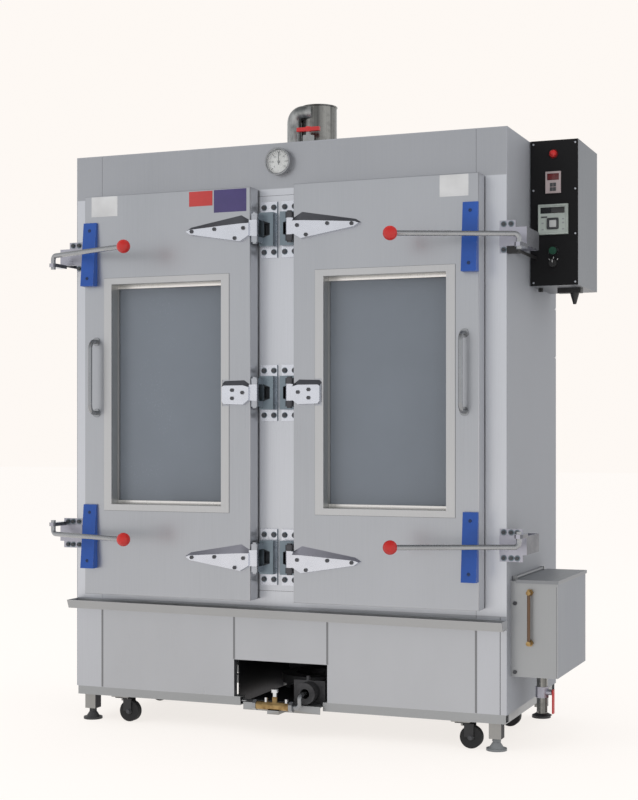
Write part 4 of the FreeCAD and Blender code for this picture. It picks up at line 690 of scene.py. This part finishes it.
def turned(shape, axis, centre, profile, steps=32, tilt=None):
    """A body of revolution from (radius, height) pairs; height grows along the axis."""
    matrix = Matrix.Translation(spot(*centre)) @ (tilt or Matrix.Identity(4)) @ AXES[axis]
    rings = []
    for radius, height in profile:
        if radius < SAME_PLACE:
            rings.append([shape.verts.new(matrix @ Vector((0, 0, height * MM)))])
            continue
        ring = []
        for step in range(steps):
            angle = 2 * math.pi * step / steps
            x, y = radius * MM * math.cos(angle), radius * MM * math.sin(angle)
            ring.append(shape.verts.new(matrix @ Vector((x, y, height * MM))))
        rings.append(ring)
    for first, second in zip(rings, rings[1:]):
        for step in range(steps):
            after = (step + 1) % steps
            corners = [first[step % len(first)], first[after % len(first)],
                       second[after % len(second)], second[step % len(second)]]
            corners = list(dict.fromkeys(corners))
            if len(corners) > 2:
                shape.faces.new(corners)


# A domed screw head with a socket: shares of its radius and of its rise.
HEAD_PROFILE = ((0, 0.45), (0.40, 0.45), (0.46, 0.98), (0.62, 1), (0.86, 0.72), (1, 0.15), (1, 0))


def button_head(shape, axis, centre, radius, rise, tilt=None):
    """A domed screw head with a round socket."""
    turned(shape, axis, centre, [(radius * wide, rise * high) for wide, high in HEAD_PROFILE], 24, tilt)


def washer(shape, axis, centre, inner, outer, thick):
    """A flat washer with a softened rim."""
    soft = 0.4
    profile = [(inner, 0), (inner, thick), (outer - soft, thick), (outer, thick - soft), (outer, 0)]
    turned(shape, axis, centre, profile)


def door_span(sign, low, high):
    """A span across a door, which the left door mirrors, lowest end first."""
    return sorted((sign * low, sign * high))


def door_plate(name, span, levels, material):
    """A blank plate on a door's front."""
    low = (span[0], DOOR_FRONT - 0.6, levels[0])
    high = (span[1], DOOR_FRONT, levels[1])
    piece(name, lambda s: slab(s, low, high, 0.25), material, name.split("_")[0] + "_door")


def pad_screws(sign):
    """The screws of one door's wedge pads, one on each end, on their sloping faces."""
    slope = Matrix.Rotation(math.radians(-6), 4, "X")
    pad_x = 656

    def fill(shape):
        for level in LATCH_HEIGHTS:
            for z, deep in ((level - 84, 27.4), (level + 76, 10.7)):
                button_head(shape, "-y", (sign * pad_x, DOOR_FRONT - deep, z), 5.4, 2.4, slope)
    return fill


def beads(sign, spans):
    """Strips that hold the pane, for spans across and up one door."""
    front, back = -24, -14

    def fill(shape):
        for (low, high), (bottom, top) in spans:
            left, right = door_span(sign, low, high)
            slab(shape, (left, front, bottom), (right, back, top), 0.8)
    return fill


def trim_outline(sign):
    """The dark joint round one window's trim."""
    wide = 1.4
    rise = 0.15
    (x0, x1), (z0, z1) = TRIM_X, TRIM_Z

    def fill(shape):
        for low, high in (((x0 - wide, z0 - wide), (x1 + wide, z0)),
                          ((x0 - wide, z1), (x1 + wide, z1 + wide)),
                          ((x0 - wide, z0), (x0, z1)),
                          ((x1, z0), (x1 + wide, z1))):
            left, right = door_span(sign, low[0], high[0])
            slab(shape, (left, DOOR_FRONT - rise, low[1]), (right, DOOR_FRONT, high[1]), 0)
    return fill


def doors_details():
    """Blank plates on the doors' fronts, the pads' screws, the window's beads and outline; the beads on the
    top, the bottom and the lit side are painted bright as a highlight, and the other side's bead darker as
    shade.
    """
    (x0, x1), (z0, z1) = BEAD_X, BEAD_Z
    wide, rise = 3, 12
    between = (z0 + rise, z1 - rise)
    inner, outer = (x0, x0 + wide), (x1 - wide, x1)
    for side, sign, corner, lit, dim in (("left", -1, (-654, -556), inner, outer),
                                         ("right", 1, (557, 648), outer, inner)):
        body = side + "_door"
        bright = (((x0, x1), (z0, z0 + rise)), ((x0, x1), (z1 - rise, z1)), (lit, between))
        door_plate(side + "_corner_plate", corner, (1690, 1756), PLATE_WHITE)
        piece(side + "_pad_screws", pad_screws(sign), PAD_SCREW, body)
        piece(side + "_glazing_bead", beads(sign, bright), BEAD_LIT, body)
        piece(side + "_side_bead", beads(sign, ((dim, between),)), BEAD_SHADED, body)
        piece(side + "_trim_outline", trim_outline(sign), STEEL_LINE, body)
    door_plate("left_red_plate", (-292, -208), (1706, 1754), PLATE_RED)
    door_plate("left_blue_plate", (-203, -88), (1682, 1755), PLATE_BLUE)


def bolt_washers(shape):
    """Washers under the bolt heads of the hinge blocks and the latch brackets."""
    hinge_x = (19, 53)
    hinge_rise = 72
    bracket_x = 727
    bracket_rise = 39
    latches = ((LATCH_HEIGHTS[0], (13, 36), (13,)), (LATCH_HEIGHTS[1], (13, 36, 55), (13, 36, 55)))
    for sign in (-1, 1):
        for height in HINGE_HEIGHTS:
            for x in hinge_x:
                for z in (height + hinge_rise, height - hinge_rise):
                    washer(shape, "-y", (sign * x, -6, z), 4, 9.6, 1.6)
        for height, above, below in latches:
            for x in above:
                washer(shape, "-y", (sign * (bracket_x + x), -3, height + bracket_rise), 4, 9.4, 1.4)
            for x in below:
                washer(shape, "-y", (sign * (bracket_x + x), -3, height - bracket_rise), 4, 9.4, 1.4)


def dial_angle(step, steps):
    """The angle from the top of one of the dial's marks."""
    return math.radians(DIAL_START + step * DIAL_SWEEP / steps)


def dial_marks(shape):
    """Short and long strokes round the dial."""
    steps = 24
    rim = 36.5
    for step in range(steps + 1):
        angle = dial_angle(step, steps)
        wide, tall = (2.2, 8.0) if step % 4 == 0 else (1.0, 4.5)
        radius = rim - tall / 2
        x, y, z = radius * math.sin(angle), DIAL_FACE - 0.75, DIAL_HEIGHT + radius * math.cos(angle)
        slab(shape, (x - wide / 2, y - 0.15, z - tall / 2), (x + wide / 2, y + 0.15, z + tall / 2), 0,
             Matrix.Rotation(angle, 4, "Y"))


def dial_number(step, steps):
    """One of the dial's plain numbers, which go up in twenties."""
    value = step * 20
    radius = 23
    angle = dial_angle(step, steps)
    text = bpy.data.curves.new("DialNumber", "FONT")
    text.body = str(value)
    text.size = 0.0085
    text.align_x = "CENTER"
    text.align_y = "CENTER"
    text.extrude = 0.0001
    text.materials.append(MARK_BLACK)
    number = bpy.data.objects.new("dial_number_%d" % value, text)
    bpy.context.scene.collection.objects.link(number)
    number.location = spot(radius * math.sin(angle), DIAL_FACE - 0.75, DIAL_HEIGHT + radius * math.cos(angle))
    number.rotation_euler = (math.pi / 2, 0, 0)
    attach(number, "root")


def front_details():
    """The washers and the dial."""
    face = [(0, 0.6), (38.8, 0.6), (39.2, 0.2), (39.2, 0)]
    lens = [(0, 1.6), (30, 1.2), (39.2, 0.4), (39.2, 0), (0, 0)]
    bezel = [(38.4, 0), (38.4, 2.2), (39.6, 3.4), (42.0, 3.6), (43.9, 2.4), (44.1, 0), (44.1, -3)]
    numbers = 6
    piece("bolt_washers", bolt_washers, ZINC, "root")
    piece("dial_face", lambda s: turned(s, "-y", (0, DIAL_FACE, DIAL_HEIGHT), face, 64),
          DIAL_WHITE, "root")
    piece("dial_marks", dial_marks, MARK_BLACK, "root")
    for step in range(numbers + 1):
        dial_number(step, numbers)
    piece("dial_lens", lambda s: turned(s, "-y", (0, -21.5, DIAL_HEIGHT), lens, 64),
          LENS, "root")
    piece("dial_bezel", lambda s: turned(s, "-y", (0, -22.0, DIAL_HEIGHT), bezel, 64),
          CHROME_DARK, "root")


def raised(shape, face, span, levels, proud, bevel):
    """A block that stands proud of an instrument's face and goes slightly into it."""
    sunk = 0.2
    slab(shape, (span[0], face - proud, levels[0]), (span[1], face + sunk, levels[1]), bevel)


def panel_screws(shape):
    """The screws down both sides of the control panel."""
    for x in (763, 898):
        for z in (1452, 1605, 1747, 1894):
            button_head(shape, "-y", (x, PANEL_FACE, z), 3.6, 1.8)


def timer_keys(shape):
    """Two rows of two keys under the timer's display."""
    pitch_x, pitch_z = 10.5, 14
    for row in range(2):
        for column in range(2):
            raised(shape, TIMER_FACE, (818 + pitch_x * column, 827.5 + pitch_x * column),
                   (1742 + pitch_z * row, 1754 + pitch_z * row), 1.4, 0.8)


def controller_bezel(shape):
    """The raised rim of the controller."""
    outer_x, inner_x = (780.5, 875.5), (785, 871)
    outer_z, inner_z = (1604.5, 1699.5), (1609, 1695)
    for span, levels in ((outer_x, (outer_z[0], inner_z[0])), (outer_x, (inner_z[1], outer_z[1])),
                         ((outer_x[0], inner_x[0]), inner_z), ((inner_x[1], outer_x[1]), inner_z)):
        raised(shape, CONTROLLER_FACE, span, levels, 2.2, 0.9)


def controller_key_frame(shape):
    """The dark square round the controller's key, and a bar over it."""
    raised(shape, CONTROLLER_FACE, (809, 847), (1620, 1656), 1.2, 4.0)
    raised(shape, CONTROLLER_FACE, (790, 810), (1657, 1662), 0.6, 0.3)


def controller_dots(shape):
    """Small keys beside the controller's large one."""
    half_x, half_z = 3.5, 2
    for x, z in ((795, 1620), (861, 1620), (861, 1640), (861, 1652), (795, 1640)):
        raised(shape, CONTROLLER_FACE, (x - half_x, x + half_x), (z - half_z, z + half_z), 0.5, 0.3)


def selector_marks(shape):
    """Strokes on the panel at the selector's three places."""
    radius = 18.5
    height = 1512
    half_x, half_z = 0.9, 3
    for angle in (-45, 0, 45):
        turn = math.radians(angle)
        x = PANEL_X + radius * math.sin(turn)
        z = height + radius * math.cos(turn)
        slab(shape, (x - half_x, PANEL_FACE - 0.3, z - half_z), (x + half_x, PANEL_FACE, z + half_z), 0,
             Matrix.Rotation(turn, 4, "Y"))


# A seven-segment figure's strokes, in shares of its width and height.
SEGMENTS = (((0, 1), (1, 1)), ((1, 1), (1, 0.5)), ((1, 0.5), (1, 0)), ((1, 0), (0, 0)), ((0, 0), (0, 0.5)),
            ((0, 0.5), (0, 1)), ((0, 0.5), (1, 0.5)))


def stroke(start, end, thick):
    """A segment's reach on one axis: short of the corners along it, and its thickness across it."""
    low, high = sorted((start, end))
    return (low - thick, high + thick) if low == high else (low + thick * 1.3, high - thick * 1.3)


def timer_digits(shape):
    """Unlit seven-segment figures in a row."""
    left, bottom, tall, pitch = 813, 1781, 12.5, 8.0
    front = TIMER_FACE - 1.0
    wide = pitch * 0.58
    thick = tall * 0.045
    for number in range(3):
        start = left + number * pitch
        for (x0, z0), (x1, z1) in SEGMENTS:
            xs = stroke(start + x0 * wide, start + x1 * wide, thick)
            zs = stroke(bottom + z0 * tall, bottom + z1 * tall, thick)
            slab(shape, (xs[0], front, zs[0]), (xs[1], front + 0.3, zs[1]), 0)


def panel_details():
    """The control panel's screws, displays, keys and marks."""
    collar = [(11.1, 0), (11.1, 5.2), (12.2, 5.6), (14.4, 2.4), (14.8, 0)]
    key_low = (817, CONTROLLER_FACE - 2.2, 1627)
    key_high = (839, CONTROLLER_FACE - 0.9, 1649)
    line_low = (827.1, PANEL_FACE - 17.4, 1514)
    line_high = (828.9, PANEL_FACE - 16.9, 1522.5)
    piece("panel_screws", panel_screws, ZINC_LUG, "root")
    piece("timer_display", lambda s: raised(s, TIMER_FACE, (809, 847), (1777, 1798), 0.8, 0.4),
          DISPLAY_RED, "root")
    piece("timer_digits", timer_digits, SEGMENT, "root")
    piece("timer_keys", timer_keys, KEY_DARK, "root")
    piece("controller_bezel", controller_bezel, PLASTIC_GREY, "root")
    piece("controller_display", lambda s: raised(s, CONTROLLER_FACE, (788, 866), (1671, 1690.5), 0.8, 0.5),
          DISPLAY_BLACK, "root")
    piece("controller_key_frame", controller_key_frame, KEY_DARK, "root")
    piece("controller_key", lambda s: slab(s, key_low, key_high, 1.5), KEY_LIGHT, "root")
    piece("controller_dots", controller_dots, KEY_GREY, "root")
    piece("lamp_collar", lambda s: turned(s, "-y", (PANEL_X, PANEL_FACE, 1861), collar, 48),
          LAMP_RING, "root")
    piece("selector_marks", selector_marks, MARK_WHITE, "root")
    piece("selector_line", lambda s: slab(s, line_low, line_high, 0.1),
          MARK_WHITE, "heat_selector")


def roof_details():
    """The flue's rolled rim and lock seam, and its collar on the roof."""
    rim = [(60.8, 0), (62.6, 0.8), (63.6, 3), (62.8, 5.2), (61, 5.9), (59.4, 5.6), (59.0, 4.4)]
    collar = [(61.4, 14), (62.8, 14), (63.4, 3.2), (84, 2.2), (84.6, 0)]
    piece("flue_rim", lambda s: turned(s, "+z", (*FLUE_AXIS, 2076), rim, 64),
          FLUE_STEEL, "root")
    piece("flue_collar", lambda s: turned(s, "+z", (*FLUE_AXIS, 1905), collar, 64),
          ZINC_DULL, "root")
    piece("flue_seam", lambda s: slab(s, (-3, 262.6, 1921), (7, 264.6, 2074), 0.6),
          FLUE_STEEL, "root")


def axle_nuts(x, y):
    """A nut and a washer on both ends of an axle."""
    half_fork = 17
    nut = [(0, 4.2), (5.2, 4.2), (6.4, 3.4), (6.4, 0)]
    ring = [(4.2, 1.3), (8.0, 1.3), (8.4, 0.8), (8.4, 0)]

    def fill(shape):
        for axis, side in (("-y", -half_fork), ("+y", half_fork)):
            turned(shape, axis, (x, y + side, AXLE_HEIGHT), nut, 6)
            turned(shape, axis, (x, y + side, AXLE_HEIGHT), ring, 24)
    return fill


def base_seams(shape):
    """The folded joints between the sheets under the gutter."""
    half = 3.5
    top = 383
    for x, bottom in ((-652, 116), (652, 116), (-163, 236), (163, 236)):
        slab(shape, (x - half, -0.3, bottom), (x + half, 0, top), 0)


def base_details():
    """Nuts on the casters' axles, and the seams of the base and the tank."""
    for name, x, y, body in WHEELS:
        piece(name + "_axle_nuts", axle_nuts(x, y), BOLT_STEEL, body, 20.0)
    piece("base_seams", base_seams, STEEL_LINE, "root")
    piece("tank_corner_seam", lambda s: slab(s, (891.5, 39.7, 232), (893.5, 40, 506), 0),
          STEEL_LINE, "root")


SHEET_SCREW = (5.0, 2.2)
SCREW_LEVELS = range(160, 1881, 215)


def back_screws(shape):
    """The screws round the edge of the back sheet."""
    for x in (-738, 738):
        for z in SCREW_LEVELS:
            button_head(shape, "+y", (x, BODY_BACK, z), *SHEET_SCREW)
    for x in range(-615, 616, 205):
        for z in (132, 1890):
            button_head(shape, "+y", (x, BODY_BACK, z), *SHEET_SCREW)


def side_screws(shape):
    """The screws along the side sheets' upright edges."""
    rear, front = 636, 22
    for z in SCREW_LEVELS:
        button_head(shape, "-x", (-BODY_HALF, rear, z), *SHEET_SCREW)
        button_head(shape, "-x", (-BODY_HALF, front, z), *SHEET_SCREW)
    for z in (160, 1230, 1395):
        button_head(shape, "+x", (BODY_HALF, rear, z), *SHEET_SCREW)


def back_details():
    """Rows of screws that hold the back and side sheets."""
    piece("back_screws", back_screws, NICKEL, "root")
    piece("side_screws", side_screws, NICKEL, "root")


def larger(tree, first, second):
    """The larger of two values."""
    node = tree.nodes.new("ShaderNodeMath")
    node.operation = "MAXIMUM"
    tree.links.new(first, node.inputs[0])
    tree.links.new(second, node.inputs[1])
    return node.outputs["Value"]


def seen_rays(tree):
    """The camera rays, and 1 for camera, glossy and transmission rays and 0 for diffuse ones."""
    path = tree.nodes.new("ShaderNodeLightPath").outputs
    seen = larger(tree, path["Is Camera Ray"], path["Is Glossy Ray"])
    return path["Is Camera Ray"], larger(tree, seen, path["Is Transmission Ray"])


BACKGROUND = (0.99, 0.945, 0.905, 1.0)
FLOOR_REACH = 30
FLOOR_ALBEDO = 0.86
FLOOR_SHADE = 0.22
FLOOR_GLOW = 0.83


def diffuse(tree, grey):
    """A plain matt shader."""
    node = tree.nodes.new("ShaderNodeBsdfDiffuse")
    node.inputs["Color"].default_value = (grey, grey, grey, 1.0)
    return node.outputs["BSDF"]


def studio_floor():
    """A pale floor: diffuse for the light it throws, and near white where it is seen."""
    corners = [(-FLOOR_REACH, -FLOOR_REACH, 0), (FLOOR_REACH, -FLOOR_REACH, 0),
               (FLOOR_REACH, FLOOR_REACH, 0), (-FLOOR_REACH, FLOOR_REACH, 0)]
    mesh = bpy.data.meshes.new("Floor")
    mesh.from_pydata(corners, [], [(0, 1, 2, 3)])
    floor = bpy.data.objects.new("Floor", mesh)
    bpy.context.scene.collection.objects.link(floor)
    cover = bpy.data.materials.new("FloorWhite")
    cover.use_nodes = True
    tree = cover.node_tree
    tree.nodes.remove(tree.nodes["Principled BSDF"])
    glow = tree.nodes.new("ShaderNodeEmission")
    glow.inputs["Color"].default_value = BACKGROUND
    glow.inputs["Strength"].default_value = FLOOR_GLOW
    shown = tree.nodes.new("ShaderNodeAddShader")
    tree.links.new(diffuse(tree, FLOOR_SHADE), shown.inputs[0])
    tree.links.new(glow.outputs["Emission"], shown.inputs[1])
    choice = tree.nodes.new("ShaderNodeMixShader")
    tree.links.new(seen_rays(tree)[1], choice.inputs[0])
    tree.links.new(diffuse(tree, FLOOR_ALBEDO), choice.inputs[1])
    tree.links.new(shown.outputs["Shader"], choice.inputs[2])
    tree.links.new(choice.outputs["Shader"], tree.nodes["Material Output"].inputs["Surface"])
    mesh.materials.append(cover)


WORLD_DIFFUSE = 0.80
WORLD_ZENITH = 0.25
WHITE = (1.0, 1.0, 1.0, 1.0)


def studio_world():
    """A plain bright world, which reflections see darken towards its top."""
    world = bpy.data.worlds.new("Studio")
    bpy.context.scene.world = world
    world.use_nodes = True
    tree = world.node_tree
    shade = tree.nodes["Background"]
    camera_ray, seen = seen_rays(tree)
    direction = tree.nodes.new("ShaderNodeSeparateXYZ")
    tree.links.new(tree.nodes.new("ShaderNodeTexCoord").outputs["Generated"], direction.inputs["Vector"])
    falling = tree.nodes.new("ShaderNodeMapRange")
    tree.links.new(direction.outputs["Z"], falling.inputs["Value"])
    falling.inputs["To Min"].default_value = 1.0
    falling.inputs["To Max"].default_value = WORLD_ZENITH
    strength = tree.nodes.new("ShaderNodeMapRange")
    tree.links.new(seen, strength.inputs["Value"])
    strength.inputs["To Min"].default_value = WORLD_DIFFUSE
    tree.links.new(larger(tree, falling.outputs["Result"], camera_ray), strength.inputs["To Max"])
    tree.links.new(strength.outputs["Result"], shade.inputs["Strength"])
    tint = tree.nodes.new("ShaderNodeMix")
    tint.data_type = "RGBA"
    colors = [socket for socket in tint.inputs if socket.type == "RGBA"]
    colors[0].default_value = WHITE
    colors[1].default_value = BACKGROUND
    tree.links.new(camera_ray, tint.inputs["Factor"])
    tree.links.new(next(socket for socket in tint.outputs if socket.type == "RGBA"), shade.inputs["Color"])


# The lamps: name, place and size in metres, and power in watts.
LAMPS = (("KeyLamp", (-3.6, -5.2, 4.6), 3.2, 70.0),
         ("FillLamp", (4.8, -3.4, 2.6), 2.4, 16.0),
         ("TopLamp", (0.2, 0.4, 6.0), 3.0, 40.0))
LAMP_TARGET = Vector((0, 0, 1.0))


def studio():
    """The floor, the world and three soft lamps that reflections don't show."""
    studio_floor()
    studio_world()
    for name, place, size, power in LAMPS:
        lamp = bpy.data.lights.new(name, "AREA")
        lamp.size = size
        lamp.energy = power
        made = bpy.data.objects.new(name, lamp)
        made.location = place
        made.rotation_euler = (LAMP_TARGET - Vector(place)).to_track_quat("-Z", "Y").to_euler()
        made.visible_glossy = False
        bpy.context.scene.collection.objects.link(made)
    bpy.context.scene.view_settings.view_transform = "Standard"


IMAGE_WIDTH = 638.0
FOCAL_PIXELS = 1535.8
HORIZON_BELOW_MIDDLE = 29.65
CAMERA_PLACE = (1.9022, -4.74594, 0.9828)
CAMERA_TURN = math.radians(21.76)


def camera():
    """The photograph's camera."""
    lens = bpy.data.cameras.new("PhotoCamera")
    lens.sensor_fit = "HORIZONTAL"
    lens.sensor_width = 36.0
    lens.lens = FOCAL_PIXELS / IMAGE_WIDTH * lens.sensor_width
    lens.shift_y = HORIZON_BELOW_MIDDLE / IMAGE_WIDTH
    made = bpy.data.objects.new("PhotoCamera", lens)
    made.location = CAMERA_PLACE
    made.rotation_euler = (math.radians(90), 0, CAMERA_TURN)
    bpy.context.scene.collection.objects.link(made)
    bpy.context.scene.camera = made


def weld_nodes():
    """Joins the CAD meshes' doubled corners, so that their edges are found."""
    for node_object in NODES.values():
        weld = node_object.modifiers.new("Weld", "WELD")
        weld.merge_threshold = SAME_PLACE


camera()
studio()
plain_nodes()
split_nodes()
doors_details()
front_details()
panel_details()
roof_details()
base_details()
back_details()
weld_nodes()
